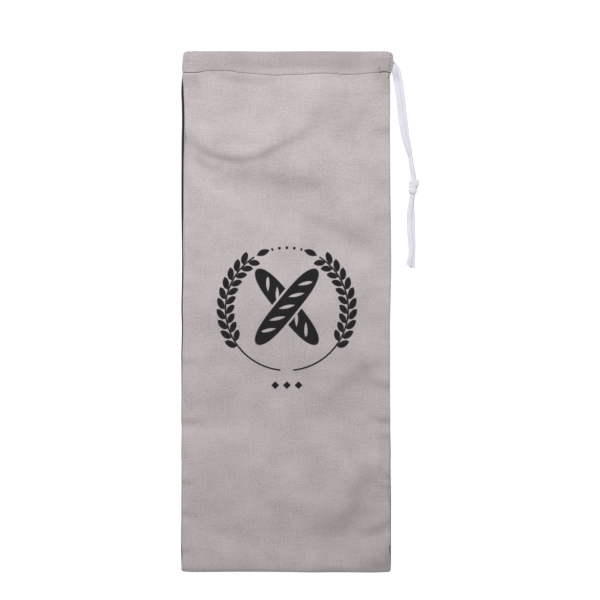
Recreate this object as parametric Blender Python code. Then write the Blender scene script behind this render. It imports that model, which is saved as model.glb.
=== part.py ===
"""Bread bag of two cotton panels with a casing round its mouth and a flat drawcord.

The bag lies empty on its back. +X is to the right and +Y towards the mouth as one looks down on the front
panel, and +Z points out of that panel. The origin is under the middle of the bag, on the surface it lies on.
Sizes are in millimetres and are turned into metres where an object is made.
"""

import math
from collections import namedtuple

import bmesh
import bpy
import numpy as np

MM = 0.001

# Cloth and clearances
CLOTH = 1.0  # thickness of a panel
GAP = 0.3  # room between pieces that touch
HALF = CLOTH / 2

# Drawcord
TAPE_WIDE = 6.8
TAPE_THICK = 1.0

# Casing, from the mouth's edge down
CASING_ROOM = TAPE_THICK + 2 * GAP  # inside height of the tunnel
FOLD_RADIUS = 0.9  # of the turned edge, at mid cloth
CORD_DEPTH = 18.8  # middle of the drawcord below the mouth's edge
MOUTH_UP = 335.3
FOLD_DEPTH = FOLD_RADIUS + HALF

# Edge of the bag, where the panels roll into the seam
INSET = 4.5  # from the outline to where the roll begins
FULL_TURN = math.radians(102)  # how far the front rolls over a closed edge
FOOT_TURN = math.radians(96)  # and over the bottom edge
SLIT_FOOT, SLIT_HEAD = 295.0, 304.0  # the right edge opens between these heights
BACK_LEADS = 6.0  # the back flattens this much below the front
LEAST_TURN = 0.4  # share of the roll left at the mouth's corner
CORNER_DEPTH = 9.0  # over which the roll dies away towards the mouth
BACK_SHY = 0.8  # how far the back stays inside the front where both are open
HEM_SHY = 4.75  # from the left outline to the end of a turned-in hem

Outline = namedtuple("Outline", "up left right")
OUTLINE = [
    Outline(335.3, -131.4, 133.6),
    Outline(329.0, -134.2, 136.2),
    Outline(322.0, -134.9, 137.1),
    Outline(316.0, -135.5, 136.3),
    Outline(308.3, -134.9, 134.5),
    Outline(298.0, -136.2, 132.7),
    Outline(283.0, -137.1, 132.2),
    Outline(236.0, -136.4, 132.2),
    Outline(175.0, -137.0, 132.5),
    Outline(75.0, -136.2, 133.5),
    Outline(0.0, -136.9, 132.5),
    Outline(-85.0, -136.2, 132.4),
    Outline(-150.0, -136.6, 132.8),
    Outline(-220.0, -137.0, 133.6),
    Outline(-335.3, -136.9, 133.4),
]

Foot = namedtuple("Foot", "right low")
FOOT = [
    Foot(-137.0, -334.6),
    Foot(-60.0, -335.0),
    Foot(20.0, -334.9),
    Foot(133.0, -335.3),
]

# How much of the dark back shows beside the front's left edge
Roll = namedtuple("Roll", "up shows")
LEFT_ROLL = [
    Roll(303.0, 0.0),
    Roll(296.0, 1.0),
    Roll(284.0, 2.9),
    Roll(228.0, 3.0),
    Roll(190.0, 2.5),
    Roll(131.0, 2.4),
    Roll(100.0, 1.9),
    Roll(78.0, 1.3),
    Roll(4.0, 1.1),
    Roll(-40.0, 0.5),
    Roll(-75.0, 0.0),
]

# Radius of the rolled edge at mid cloth, and how far the front stands above that edge in the middle
Section = namedtuple("Section", "up edge_radius loft")
SECTIONS = [
    Section(335.3, 3.25, 4.3),
    Section(303.0, 3.25, 4.5),
    Section(288.0, 2.45, 5.3),
    Section(272.0, 1.65, 6.1),
    Section(150.0, 1.65, 6.4),
    Section(-60.0, 1.65, 6.3),
    Section(-220.0, 1.65, 5.9),
    Section(-270.0, 1.65, 4.5),
    Section(-305.0, 1.65, 2.1),
    Section(-331.0, 1.65, 0.0),
]
BULGE_SHOULDER, BULGE_RUN = 3.2, 1.2  # shape of the loft from side to side

# Distance between the two layers of a casing, at mid cloth
Layer = namedtuple("Layer", "depth apart")
CASING = [
    Layer(FOLD_DEPTH, 2 * FOLD_RADIUS),
    Layer(6.0, 2.3),
    Layer(11.5, CLOTH + CASING_ROOM),
    Layer(25.0, CLOTH + CASING_ROOM),
    Layer(29.0, CLOTH + GAP),
    Layer(33.5, CLOTH + GAP),
]

# Main folds of the front: each is a trough between two low ridges along its own line
Fold = namedtuple("Fold", "deep wide line")
FOLDS = [
    Fold(2.2, 10.0, [(-124, 220), (-95, 200), (-64, 197), (-38, 198), (-12, 210), (17, 225), (50, 249)]),
    Fold(1.2, 9.0, [(46, 245), (70, 259), (99, 268)]),
    Fold(1.2, 9.0, [(-108, 188), (-64, 172), (-40, 176)]),
    Fold(1.0, 11.0, [(-16, 171), (12, 169), (48, 177)]),
    Fold(0.9, 8.0, [(32, 118), (72, 111), (104, 96)]),
    Fold(0.9, 10.0, [(121, 238), (109, 228)]),
    Fold(1.8, 10.0, [(106, -200), (91, -244), (81, -262), (63, -275), (34, -281), (8, -268)]),
    Fold(1.0, 13.0, [(-98, -282), (-74, -286)]),
    Fold(0.8, 10.0, [(78, -128), (77, -156), (78, -186)]),
]
RIDGE_SHARE, RIDGE_AWAY, RIDGE_WIDE = 0.6, 1.9, 1.1  # a ridge beside a trough, in the trough's own sizes
FOLD_ENDS = 0.22  # share of a fold's length over which it fades in or out

# Small puckers that run in from the side seams: (edge, height up the bag, reach, depth)
Pucker = namedtuple("Pucker", "edge up reach deep")
PUCKERS = [
    Pucker("left", -66, 26, 0.7),
    Pucker("left", -142, 30, 0.7),
    Pucker("left", -220, 24, 0.6),
    Pucker("left", -262, 28, 0.7),
    Pucker("right", -84, 34, 0.8),
    Pucker("right", -148, 30, 0.7),
    Pucker("right", -222, 32, 0.8),
    Pucker("right", -272, 26, 0.6),
]
PUCKER_WIDE = 7.5

# Rows and columns of the cloth
Band = namedtuple("Band", "to step")
FRONT_BANDS = [Band(-288, 11), Band(-190, 14), Band(-75, 19), Band(-40, 18), Band(90, 26), Band(142, 17)]
FRONT_BANDS += [Band(272, 10), Band(302, 7.5)]
BACK_BANDS = [Band(-290, 20), Band(-75, 54), Band(-40, 18), Band(90, 26), Band(232, 45), Band(272, 20)]
BACK_BANDS += [Band(302, 7.5)]
CASING_ROWS = [29.0, 25.0, 18.8, 11.5, 6.0, FOLD_DEPTH]
HEM_END = 32.5
FOLD_STEPS = 4
FRONT_COLUMNS, BACK_COLUMNS = 16, 6
FRONT_RIM = [0.0, 0.45, 0.64, 0.82, 1.0]  # shares of the roll's length at which the cloth is bent
BACK_RIM = [0.0, 0.34, 0.47, 0.6, 0.73, 0.86, 1.0]

# Drawcord outside the casing: where the pair of tapes lies, how far it is turned on edge, how much the
# tapes are gathered and how far each lies to its side of the pair's middle
Pair = namedtuple("Pair", "right up tilt gathered aside")
STRANDS = [
    Pair(128.2, 316.5, 0, 1.0, 0.2),
    Pair(133.4, 316.4, 0, 1.0, 0.5),
    Pair(137.4, 315.2, 0, 1.0, 0.9),
    Pair(140.6, 311.8, 0, 1.0, 1.2),
    Pair(142.4, 306.2, 0, 1.0, 1.4),
    Pair(143.6, 297.5, 0, 1.0, 1.45),
    Pair(145.2, 285.0, 0, 1.0, 1.45),
    Pair(147.0, 268.5, 0, 1.0, 1.45),
    Pair(150.7, 246.5, 6, 1.0, 1.4),
    Pair(155.0, 221.0, 28, 0.96, 1.2),
    Pair(158.8, 201.4, 62, 0.82, 0.9),
    Pair(161.1, 184.5, 58, 0.8, 0.8),
    Pair(162.6, 173.2, 50, 0.8, 0.8),
]
TAILS = [
    Pair(161.9, 149.0, 48, 0.76, 0.7),
    Pair(160.8, 142.5, 32, 0.86, 0.9),
    Pair(159.9, 134.0, 10, 1.0, 1.2),
    Pair(159.9, 123.0, 0, 1.0, 1.45),
    Pair(160.3, 109.0, 0, 1.0, 1.4),
    Pair(160.9, 97.0, 0, 1.0, 1.1),
    Pair(161.3, 85.5, 0, 1.0, 0.8),
    Pair(160.9, 73.5, 0, 1.0, 1.0),
    Pair(160.2, 64.5, 0, 1.0, 1.5),
    Pair(160.0, 59.0, 0, 1.0, 1.6),
]
STRAND_STEP, TAIL_STEP, BEND_STEP = 6.5, 9.0, 3.4  # between a tape's points, and over its first length
BEND_LENGTH = 24.0
DROP_FROM, DROP_OVER = 10.0, 22.0  # along the strands, from the casing down to the surface
RUN_STEP = 26.0  # between points of the drawcord inside the casing
TURN_STEPS = 8
ON_SURFACE = 0.05
PAIR_GAP = 0.6  # between the two tapes

# Overhand knot, from its head to its foot
Knot = namedtuple("Knot", "up left right tall")
KNOT = [
    Knot(172.8, 160.4, 168.4, 5.6),
    Knot(169.4, 159.0, 170.1, 7.6),
    Knot(165.3, 157.8, 169.9, 8.4),
    Knot(161.6, 157.7, 168.3, 8.2),
    Knot(158.7, 157.6, 167.1, 7.2),
    Knot(155.6, 156.7, 167.4, 7.7),
    Knot(152.4, 158.4, 166.0, 6.4),
    Knot(150.0, 159.8, 164.6, 4.6),
]
KNOT_SIDES = 14
KNOT_ROWS = 13

# Colours as seen, and how rough each finish is
Finish = namedtuple("Finish", "red green blue rough")
TAUPE = Finish(191, 181, 181, 0.9)
NEAR_BLACK = Finish(38, 35, 43, 0.9)
WHITE = Finish(230, 230, 238, 0.85)


def track(rows, key, value):
    """A smooth function through the rows' values that doesn't overshoot them."""
    rows = sorted(rows, key=lambda row: getattr(row, key))
    at = np.array([getattr(row, key) for row in rows], float)
    level = np.array([getattr(row, value) for row in rows], float)
    step = np.diff(at)
    slope = np.diff(level) / step
    tangent = np.concatenate([slope[:1], np.zeros(len(slope) - 1), slope[-1:]])
    for i in range(1, len(slope)):
        if slope[i - 1] * slope[i] > 0:
            tangent[i] = 2 * slope[i - 1] * slope[i] / (slope[i - 1] + slope[i])

    def read(where):
        where = min(max(where, at[0]), at[-1])
        i = min(int(np.searchsorted(at, where, side="right")) - 1, len(step) - 1)
        t = (where - at[i]) / step[i]
        rise = level[i + 1] - level[i]
        bend_in, bend_out = tangent[i] * step[i] - rise, rise - tangent[i + 1] * step[i]
        return level[i] + rise * t + t * (1 - t) * ((1 - t) * bend_in + t * bend_out)

    return read


def ease(share):
    """From 0 to 1 with a soft start and end."""
    share = min(max(share, 0.0), 1.0)
    return share * share * (3 - 2 * share)


left_edge = track(OUTLINE, "up", "left")
right_edge = track(OUTLINE, "up", "right")
foot_edge = track(FOOT, "right", "low")
back_shows = track(LEFT_ROLL, "up", "shows")
edge_radius = track(SECTIONS, "up", "edge_radius")
loft = track(SECTIONS, "up", "loft")
layers_apart = track(CASING, "depth", "apart")

# The rim of a panel: flat, then bent through a turn of that radius, then straight on

Rim = namedtuple("Rim", "flat radius turn beyond")


def rim_point(rim, share):
    """How far out and how far off its plane the cloth is at a share of the rim's length."""
    bent = rim.radius * rim.turn
    run = share * (rim.flat + bent + rim.beyond)
    angle = min(max(run - rim.flat, 0) / rim.radius, rim.turn)
    over = max(run - rim.flat - bent, 0)
    out = min(run, rim.flat) + rim.radius * math.sin(angle) + over * math.cos(angle)
    off = rim.radius * (1 - math.cos(angle)) + over * math.sin(angle)
    return out, off


def mixed(first, second, share):
    return Rim(*(a + (b - a) * share for a, b in zip(first, second)))


def free_rim(radius, turn):
    """A rim whose outermost point is on the outline, for any turn."""
    reach = (radius + HALF) * math.sin(min(turn, math.pi / 2))
    return Rim(INSET - reach, radius, turn, 0)


def corner_share(up):
    """The share of the full roll that the left edge keeps near the mouth."""
    return LEAST_TURN + (1 - LEAST_TURN) * ease((MOUTH_UP - up) / CORNER_DEPTH)


def closed_share(up):
    """1 where the right edge is sewn, and 0 where it is open beside the casing."""
    return 1 - ease((up - SLIT_FOOT) / (SLIT_HEAD - SLIT_FOOT))


def front_rim(side, up):
    radius, shows = edge_radius(up), back_shows(up)
    outer = radius + HALF
    if side == "foot":
        return free_rim(radius, FOOT_TURN)
    if side == "right":
        return free_rim(radius, FULL_TURN * closed_share(up))
    if shows <= 0:
        return free_rim(radius, FULL_TURN * corner_share(up))
    if shows >= outer:
        return Rim(INSET - shows, radius, 0, 0)
    past = (FULL_TURN - math.pi / 2) * (1 - shows / outer)
    return Rim(INSET - outer, radius, math.asin(1 - shows / outer) + past, 0)


def back_rim(side, up):
    """The rest of the same roll, from below, as far as the front's end."""
    radius = edge_radius(up)
    outer = radius + HALF
    clear = radius * GAP / (radius - HALF)
    if side == "right":
        share = closed_share(up + BACK_LEADS)
        rolled = Rim(INSET - outer, radius, math.pi - FULL_TURN - clear / radius, 0)
        return mixed(Rim(INSET - BACK_SHY, radius, 0, 0), rolled, share)
    if side == "foot":
        return Rim(INSET - outer, radius, math.pi - FOOT_TURN - clear / radius, 0)
    front = front_rim("left", up)
    covered = radius * front.turn if front.turn > 0 else outer - back_shows(up)
    left_over = -covered - clear
    if back_shows(up) <= 0:
        left_over = -radius * FULL_TURN - clear
    if left_over >= 0:
        return Rim(INSET - outer, radius, math.pi, left_over)
    return Rim(INSET - outer, radius, math.pi + left_over / radius, 0)


# Height of the front panel, at mid cloth


def fold_height(right, up):
    """What the folds and puckers add to the front at a place."""
    height = 0.0
    here = np.array([right, up], float)
    for fold in FOLDS:
        line = np.array(fold.line, float)
        legs = np.linalg.norm(np.diff(line, axis=0), axis=1)
        passed = np.concatenate([[0], np.cumsum(legs)])
        near, along = math.inf, 0.0
        for i, leg in enumerate(legs):
            way = (line[i + 1] - line[i]) / leg
            on = min(max((here - line[i]) @ way, 0), leg)
            off = float(np.linalg.norm(here - line[i] - way * on))
            if off < near:
                near, along = off, (passed[i] + on) / passed[-1]
        fade = ease(along / FOLD_ENDS) * ease((1 - along) / FOLD_ENDS)
        trough = math.exp(-((near / fold.wide) ** 2))
        ridge = math.exp(-(((near / fold.wide - RIDGE_AWAY) / RIDGE_WIDE) ** 2))
        height += fold.deep * fade * (RIDGE_SHARE * ridge - (1 - RIDGE_SHARE) * trough)
    for pucker in PUCKERS:
        edge = left_edge(up) if pucker.edge == "left" else right_edge(up)
        inward = abs(right - edge)
        across = (up - pucker.up) / PUCKER_WIDE
        height -= pucker.deep * math.exp(-((inward / pucker.reach) ** 2)) * math.exp(-across * across)
    return height


def front_height(right, up):
    left, far = left_edge(up) + INSET, right_edge(up) - INSET
    sideways = min(abs(2 * (right - left) / (far - left) - 1), 1.0)
    bulge = (1 - sideways**BULGE_SHOULDER) ** BULGE_RUN
    return HALF + 2 * edge_radius(up) + loft(up) * bulge + fold_height(right, up)


# Grids of cloth: columns are (zone, share) from left to right, rows are (zone, value) from foot to hem


def columns_of(rim, inner):
    left = [("left", share) for share in reversed(rim[1:])]
    middle = [("core", i / inner) for i in range(inner + 1)]
    right = [("right", share) for share in rim[1:]]
    return left + middle + right


def rows_of(rim, bands):
    low = min(foot.low for foot in FOOT) + INSET
    rows = [("foot", share) for share in reversed(rim[1:])] + [("body", low)]
    for band in bands:
        count = max(1, round((band.to - low) / band.step))
        rows += [("body", low + (band.to - low) * (i + 1) / count) for i in range(count)]
        low = band.to
    rows += [("outer", depth) for depth in CASING_ROWS]
    rows += [("fold", math.pi * (i + 1) / FOLD_STEPS) for i in range(FOLD_STEPS - 1)]
    rows += [("inner", depth) for depth in [*reversed(CASING_ROWS), HEM_END]]
    return rows


def turned_level(level, right, up, share, off):
    """Height on a rim: the front's turns down and loses its folds on the way, the back's turns up."""
    if level is back_level:
        return HALF + off
    return level(right, up) - fold_height(right, up) * share - off


def laid(column, up, rim_of, level):
    """A point of a panel's outer layer at a height up the bag."""
    zone, share = column
    left, right = left_edge(up) + INSET, right_edge(up) - INSET
    if zone == "core":
        across = left + (right - left) * share
        return across, up, level(across, up)
    start, way = (left, -1) if zone == "left" else (right, 1)
    out, off = rim_point(rim_of(zone, up), share)
    return start + way * out, up, turned_level(level, start, up, share, off)


def footed(column, share, rim_of, level, low):
    """A point of the outer layer on the rolled bottom edge, with its round corners."""
    zone, beside = column
    left, right = left_edge(low) + INSET, right_edge(low) - INSET
    if zone == "core":
        across = left + (right - left) * beside
        out, off = rim_point(rim_of("foot", low), share)
        base = foot_edge(across) + INSET
        return across, base - out, turned_level(level, across, low, share, off)
    start, way = (left, -1) if zone == "left" else (right, 1)
    ring = max(beside, share)
    turned = math.pi / 4 * min(beside, share) / ring
    bearing = turned if beside >= share else math.pi / 2 - turned
    rim = mixed(rim_of(zone, low), rim_of("foot", low), bearing / (math.pi / 2))
    out, off = rim_point(rim, ring)
    base = low + (foot_edge(start) + INSET - low) * math.sin(bearing)
    height = turned_level(level, start, low, ring, off)
    return start + way * out * math.cos(bearing), base - out * math.sin(bearing), height


def turned_in(place, depth, mouth, level, inward):
    """A point of the hem inside the casing, at a share of its width from left to right."""
    up = mouth - depth
    left, right = left_edge(up) + HEM_SHY, right_edge(up) - BACK_SHY
    across = left + (right - left) * place
    return across, up, level(across, up) + inward * layers_apart(depth)


def cloth_grid(rim, inner, bands, rim_of, level, inward, mouth):
    """Rows of points at mid cloth, from the bottom edge up, over the mouth's edge and down inside."""
    columns, rows = columns_of(rim, inner), rows_of(rim, bands)
    low = min(foot.low for foot in FOOT) + INSET
    breadth = np.linspace(0, 1, len(columns))
    grid = []
    for zone, value in rows:
        line = []
        for place, column in zip(breadth, columns):
            if zone == "foot":
                point = footed(column, value, rim_of, level, low)
            elif zone == "body":
                point = laid(column, value, rim_of, level)
            elif zone == "outer":
                point = laid(column, mouth - value, rim_of, level)
            elif zone == "inner":
                point = turned_in(place, value, mouth, level, inward)
            else:
                over = np.array(laid(column, mouth - FOLD_DEPTH, rim_of, level))
                under = np.array(turned_in(place, FOLD_DEPTH, mouth, level, inward))
                point = over + (under - over) * (1 - math.cos(value)) / 2
                point[1] += FOLD_RADIUS * math.sin(value)
            line.append(tuple(point))
        grid.append(line)
    return grid


# Objects


def linear(value):
    value /= 255
    return value / 12.92 if value <= 0.04045 else ((value + 0.055) / 1.055) ** 2.4


def material(name, finish):
    made = bpy.data.materials.new(name)
    made.use_nodes = True
    shader = made.node_tree.nodes["Principled BSDF"]
    shader.inputs["Base Color"].default_value = (
        linear(finish.red),
        linear(finish.green),
        linear(finish.blue),
        1,
    )
    shader.inputs["Roughness"].default_value = finish.rough
    shader.inputs["Metallic"].default_value = 0
    return made


def placed(name, data, finish, bag):
    made = bpy.data.objects.new(name, data)
    bpy.context.scene.collection.objects.link(made)
    data.materials.append(finish)
    made.parent = bag
    return made


def cloth_object(name, grid, finish, bag):
    """The grid as one sheet, given its thickness evenly on both sides."""
    sheet = bmesh.new()
    lines = [[sheet.verts.new([MM * size for size in point]) for point in line] for line in grid]
    for lower, upper in zip(lines, lines[1:]):
        for i in range(len(lower) - 1):
            sheet.faces.new((lower[i], lower[i + 1], upper[i + 1], upper[i]))
    mesh = bpy.data.meshes.new(name)
    sheet.to_mesh(mesh)
    sheet.free()
    made = placed(name, mesh, finish, bag)
    mesh.shade_smooth()
    mesh.set_sharp_from_angle(angle=math.radians(60))
    solid = made.modifiers.new("Thickness", "SOLIDIFY")
    solid.thickness = CLOTH * MM
    solid.offset = 0
    return made


def front_panel(finish, bag):
    grid = cloth_grid(FRONT_RIM, FRONT_COLUMNS, FRONT_BANDS, front_rim, front_height, -1, MOUTH_UP)
    return cloth_object("front_panel", grid, finish, bag)


def back_level(right, up):
    return HALF


def back_panel(finish, bag):
    mouth = MOUTH_UP - BACK_SHY
    grid = cloth_grid(BACK_RIM, BACK_COLUMNS, BACK_BANDS, back_rim, back_level, 1, mouth)
    return cloth_object("back_panel", grid, finish, bag)


def tape_profile():
    """The flat cord's cross-section, with rounded edges, as a hidden guide."""
    curve = bpy.data.curves.new("tape_profile", "CURVE")
    curve.dimensions = "2D"
    round_edge = TAPE_THICK / 2 * 0.7
    wide, thick = TAPE_WIDE / 2, TAPE_THICK / 2
    corners = [
        (wide - round_edge, thick),
        (wide, thick - round_edge),
        (wide, -thick + round_edge),
        (wide - round_edge, -thick),
    ]
    corners += [(-across, -up) for across, up in corners]
    spline = curve.splines.new("POLY")
    spline.points.add(len(corners) - 1)
    spline.use_cyclic_u = True
    for point, (across, up) in zip(spline.points, corners):
        point.co = (across * MM, up * MM, 0, 1)
    guide = bpy.data.objects.new("tape_profile", curve)
    bpy.context.scene.collection.objects.link(guide)
    guide.hide_render = True
    guide.display_type = "WIRE"
    return guide


def tape(name, points, profile, finish, bag):
    """A flat cord along its points, each (place, tilt, gathered). A tilt lifts the edge on the left."""
    curve = bpy.data.curves.new(name, "CURVE")
    curve.dimensions = "3D"
    curve.twist_mode = "Z_UP"
    curve.bevel_mode = "OBJECT"
    curve.bevel_object = profile
    curve.use_fill_caps = True
    spline = curve.splines.new("POLY")
    spline.points.add(len(points) - 1)
    for point, (place, tilt, gathered) in zip(spline.points, points):
        point.co = (*(MM * size for size in place), 1)
        point.tilt = -tilt
        point.radius = gathered
    return placed(name, curve, finish, bag)


def smooth_route(rows, step):
    """The rows' own smooth curve, read at even steps, closer together over its first length."""
    knots = np.array(rows, float)
    reach = np.concatenate([[0], np.cumsum(np.linalg.norm(np.diff(knots[:, :2], axis=0), axis=1))])
    Stop = namedtuple("Stop", "at value")
    curves = [track([Stop(a, v) for a, v in zip(reach, column)], "at", "value") for column in knots.T]
    total = reach[-1]
    stops = list(np.linspace(0, BEND_LENGTH, round(BEND_LENGTH / BEND_STEP) + 1))[:-1]
    stops += list(np.linspace(BEND_LENGTH, total, round((total - BEND_LENGTH) / step) + 1))
    return [(stop, Pair(*(curve(stop) for curve in curves))) for stop in stops]


def pair_of_tapes(rows, names, step, from_casing, profile, finish, bag):
    """Two tapes that lie on each other and turn together, the second beneath and to the right."""
    route = smooth_route(rows, step)
    stack = TAPE_THICK + PAIR_GAP
    for name, side in zip(names, (-1, 1)):
        points = []
        for i, (stop, here) in enumerate(route):
            before, after = route[max(i - 1, 0)][1], route[min(i + 1, len(route) - 1)][1]
            way = np.array([after.right - before.right, after.up - before.up])
            way /= np.linalg.norm(way)
            tilt = math.radians(here.tilt)
            aside, above = side * here.aside, -side * stack / 2
            sideways = aside * math.cos(tilt) + above * math.sin(tilt)
            upward = above * math.cos(tilt) - aside * math.sin(tilt)
            low = here.aside * math.sin(tilt) + stack / 2 * math.cos(tilt)
            half_tape = here.gathered * (TAPE_WIDE * math.sin(tilt) + TAPE_THICK * math.cos(tilt)) / 2
            height = ON_SURFACE + low + half_tape + upward
            if from_casing:
                tunnel = tunnel_height(side, here.right)
                height += (tunnel - height) * (1 - ease((stop - DROP_FROM) / DROP_OVER))
            place = (here.right - way[1] * sideways, here.up + way[0] * sideways, height)
            points.append((place, tilt, here.gathered))
        tape(name, points, profile, finish, bag)


def tunnel_height(side, right):
    """Middle of the casing's tunnel where the drawcord runs: -1 is the front's, 1 the back's."""
    up = MOUTH_UP - CORD_DEPTH
    right = min(right, right_edge(up) - INSET)
    if side < 0:
        return front_height(right, up) - (CLOTH + CASING_ROOM) / 2
    return HALF + (CLOTH + CASING_ROOM) / 2


def cord_in_casing(profile, finish, bag):
    """The drawcord's middle: along the front's tunnel, round the left edge and back along the back's."""
    up = MOUTH_UP - CORD_DEPTH
    radius = edge_radius(up)
    middle = left_edge(up) + radius + HALF + GAP
    start = STRANDS[0].right - GAP
    stops = np.linspace(start, middle, round((start - middle) / RUN_STEP) + 1)
    turn = (tunnel_height(-1, middle) - tunnel_height(1, middle)) / 2
    centre = tunnel_height(1, middle) + turn
    places = [(stop, up, tunnel_height(-1, stop)) for stop in stops]
    for i in range(1, TURN_STEPS):
        angle = math.pi * i / TURN_STEPS
        places.append((middle - turn * math.sin(angle), up, centre + turn * math.cos(angle)))
    places += [(stop, up, tunnel_height(1, stop)) for stop in reversed(stops)]
    made = tape("drawcord_in_casing", [(place, 0, 1.0) for place in places], profile, finish, bag)
    made.data.twist_mode = "MINIMUM"
    return made


def knot(finish, bag):
    """The knot's outer form: rings of cloth pulled tight, flat on the surface."""
    sides = [track(KNOT, "up", key) for key in ("left", "right", "tall")]
    body = bmesh.new()
    rings = []
    for up in np.linspace(KNOT[0].up, KNOT[-1].up, KNOT_ROWS):
        left, right, tall = (side(up) for side in sides)
        ring = []
        for i in range(KNOT_SIDES):
            angle = 2 * math.pi * i / KNOT_SIDES
            across = (left + right) / 2 + (right - left) / 2 * math.cos(angle)
            height = tall / 2 * (1 + math.sin(angle))
            ring.append(body.verts.new((across * MM, up * MM, height * MM)))
        rings.append(ring)
    for upper, lower in zip(rings, rings[1:]):
        for i in range(KNOT_SIDES):
            j = (i + 1) % KNOT_SIDES
            body.faces.new((upper[i], upper[j], lower[j], lower[i]))
    body.faces.new(rings[0])
    body.faces.new(rings[-1])
    bmesh.ops.recalc_face_normals(body, faces=body.faces)
    mesh = bpy.data.meshes.new("cord_knot")
    body.to_mesh(mesh)
    body.free()
    mesh.shade_smooth()
    mesh.set_sharp_from_angle(angle=math.radians(50))
    return placed("cord_knot", mesh, finish, bag)


def main():
    for old in list(bpy.data.objects):
        bpy.data.objects.remove(old)
    bag = bpy.data.objects.new("bread_bag", None)
    bpy.context.scene.collection.objects.link(bag)
    front_cotton = material("front_cotton", TAUPE)
    back_cotton = material("back_cotton", NEAR_BLACK)
    cord_cotton = material("cord_cotton", WHITE)
    front_panel(front_cotton, bag)
    back_panel(back_cotton, bag)
    profile = tape_profile()
    cord_in_casing(profile, cord_cotton, bag)
    strands = ("cord_strand_over", "cord_strand_under")
    tails = ("cord_tail_over", "cord_tail_under")
    pair_of_tapes(STRANDS, strands, STRAND_STEP, True, profile, cord_cotton, bag)
    knot(cord_cotton, bag)
    pair_of_tapes(TAILS, tails, TAIL_STEP, False, profile, cord_cotton, bag)


main()
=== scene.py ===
"""Looks of a cotton bread bag that lies empty on its back, with its flat drawcord knotted at the right.

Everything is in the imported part's frame: +X right, +Y towards the mouth, +Z up out of the front panel.
Sizes are in millimetres and are turned into metres where a mesh is made.
"""

import math
from collections import namedtuple
from functools import partialmethod

import bmesh
import bpy
import numpy as np
from mathutils import Matrix, Vector
from mathutils.bvhtree import BVHTree


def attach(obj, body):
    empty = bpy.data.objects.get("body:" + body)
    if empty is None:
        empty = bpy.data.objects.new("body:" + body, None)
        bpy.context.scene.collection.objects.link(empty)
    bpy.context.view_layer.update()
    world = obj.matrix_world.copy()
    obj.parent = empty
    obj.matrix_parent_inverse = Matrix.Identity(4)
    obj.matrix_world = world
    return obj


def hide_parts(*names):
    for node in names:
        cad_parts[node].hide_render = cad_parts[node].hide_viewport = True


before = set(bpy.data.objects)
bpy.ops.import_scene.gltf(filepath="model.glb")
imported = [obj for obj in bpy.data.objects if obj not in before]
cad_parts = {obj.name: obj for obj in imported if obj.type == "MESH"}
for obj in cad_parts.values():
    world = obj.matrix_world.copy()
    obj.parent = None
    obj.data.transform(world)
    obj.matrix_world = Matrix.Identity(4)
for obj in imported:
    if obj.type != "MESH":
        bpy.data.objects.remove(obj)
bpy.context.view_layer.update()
bpy.ops.object.select_all(action="DESELECT")

MM = 0.001


def table(columns, *rows):
    """Rows of values with those named columns."""
    row = namedtuple("Row", columns)
    return [row(*values) for values in rows]


def linked(name, data):
    made = bpy.data.objects.new(name, data)
    bpy.context.scene.collection.objects.link(made)
    return made


def ball(segments, rings, size, middle=(0, 0, 0)):
    """A smooth round body with those half sizes."""
    bpy.ops.mesh.primitive_uv_sphere_add(segments=segments, ring_count=rings)
    made = bpy.context.object
    made.data.transform(Matrix.Translation(middle) @ Matrix.Diagonal((*size, 1)))
    made.data.shade_smooth()
    bpy.ops.object.select_all(action="DESELECT")
    return made


# Camera, floor and light

VIEW_WIDE = 772.6  # what the photograph's frame takes in on the ground, each way
VIEW_MIDDLE = (16.9, 14.7)
VIEW_LEVEL = 6.0  # height at which the frame is that wide: about the cloth's own
CAMERA_UP = 5000.0
SENSOR = 36.0
FLOOR_WIDE = 9000.0
FLOOR_DOWN = 0.1  # just under the bag, so that no two faces coincide


def camera():
    """Looks straight down, from so high that the view is almost parallel."""
    data = bpy.data.cameras.new("camera")
    data.sensor_width = SENSOR
    data.lens = SENSOR * (CAMERA_UP - VIEW_LEVEL) / VIEW_WIDE
    data.clip_end = 50
    made = linked("camera", data)
    made.location = Vector((*VIEW_MIDDLE, CAMERA_UP)) * MM
    bpy.context.scene.camera = made


LIGHT_PLACE, LIGHT_WIDE, LIGHT_POWER = Vector((-240, 1520, 1150)), 800, 29.4
SKY = (1.0, 0.985, 0.99)
SKY_STRENGTH = 0.5
FLOOR_GLOW = 0.92


def lights():
    data = bpy.data.lights.new("window_light", "AREA")
    data.shape = "SQUARE"
    data.size = LIGHT_WIDE * MM
    data.energy = LIGHT_POWER
    made = linked("window_light", data)
    made.location = LIGHT_PLACE * MM
    made.rotation_euler = (-LIGHT_PLACE).to_track_quat("-Z", "Y").to_euler()
    world = bpy.data.worlds.new("studio")
    world.use_nodes = True
    background = world.node_tree.nodes["Background"]
    background.inputs["Color"].default_value = (*SKY, 1)
    background.inputs["Strength"].default_value = SKY_STRENGTH
    bpy.context.scene.world = world
    bpy.context.scene.view_settings.view_transform = "Standard"


# Materials

Shade = namedtuple("Shade", "red green blue")


def linear(shade):
    """A colour as seen on a screen, as light."""
    parts = [part / 255 for part in shade]
    return [part / 12.92 if part <= 0.04045 else ((part + 0.055) / 1.055) ** 2.4 for part in parts]


def made_node(nodes, kind, inputs, **settings):
    """A new node of a material, with its settings and with what goes into its inputs."""
    node = nodes.nodes.new("ShaderNode" + kind)
    for name, value in settings.items():
        setattr(node, name, value)
    for slot, value in inputs.items():
        if isinstance(value, Field):
            value = value.socket
        if isinstance(value, bpy.types.NodeSocket):
            nodes.links.new(value, node.inputs[slot])
        else:
            node.inputs[slot].default_value = value
    return node


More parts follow.
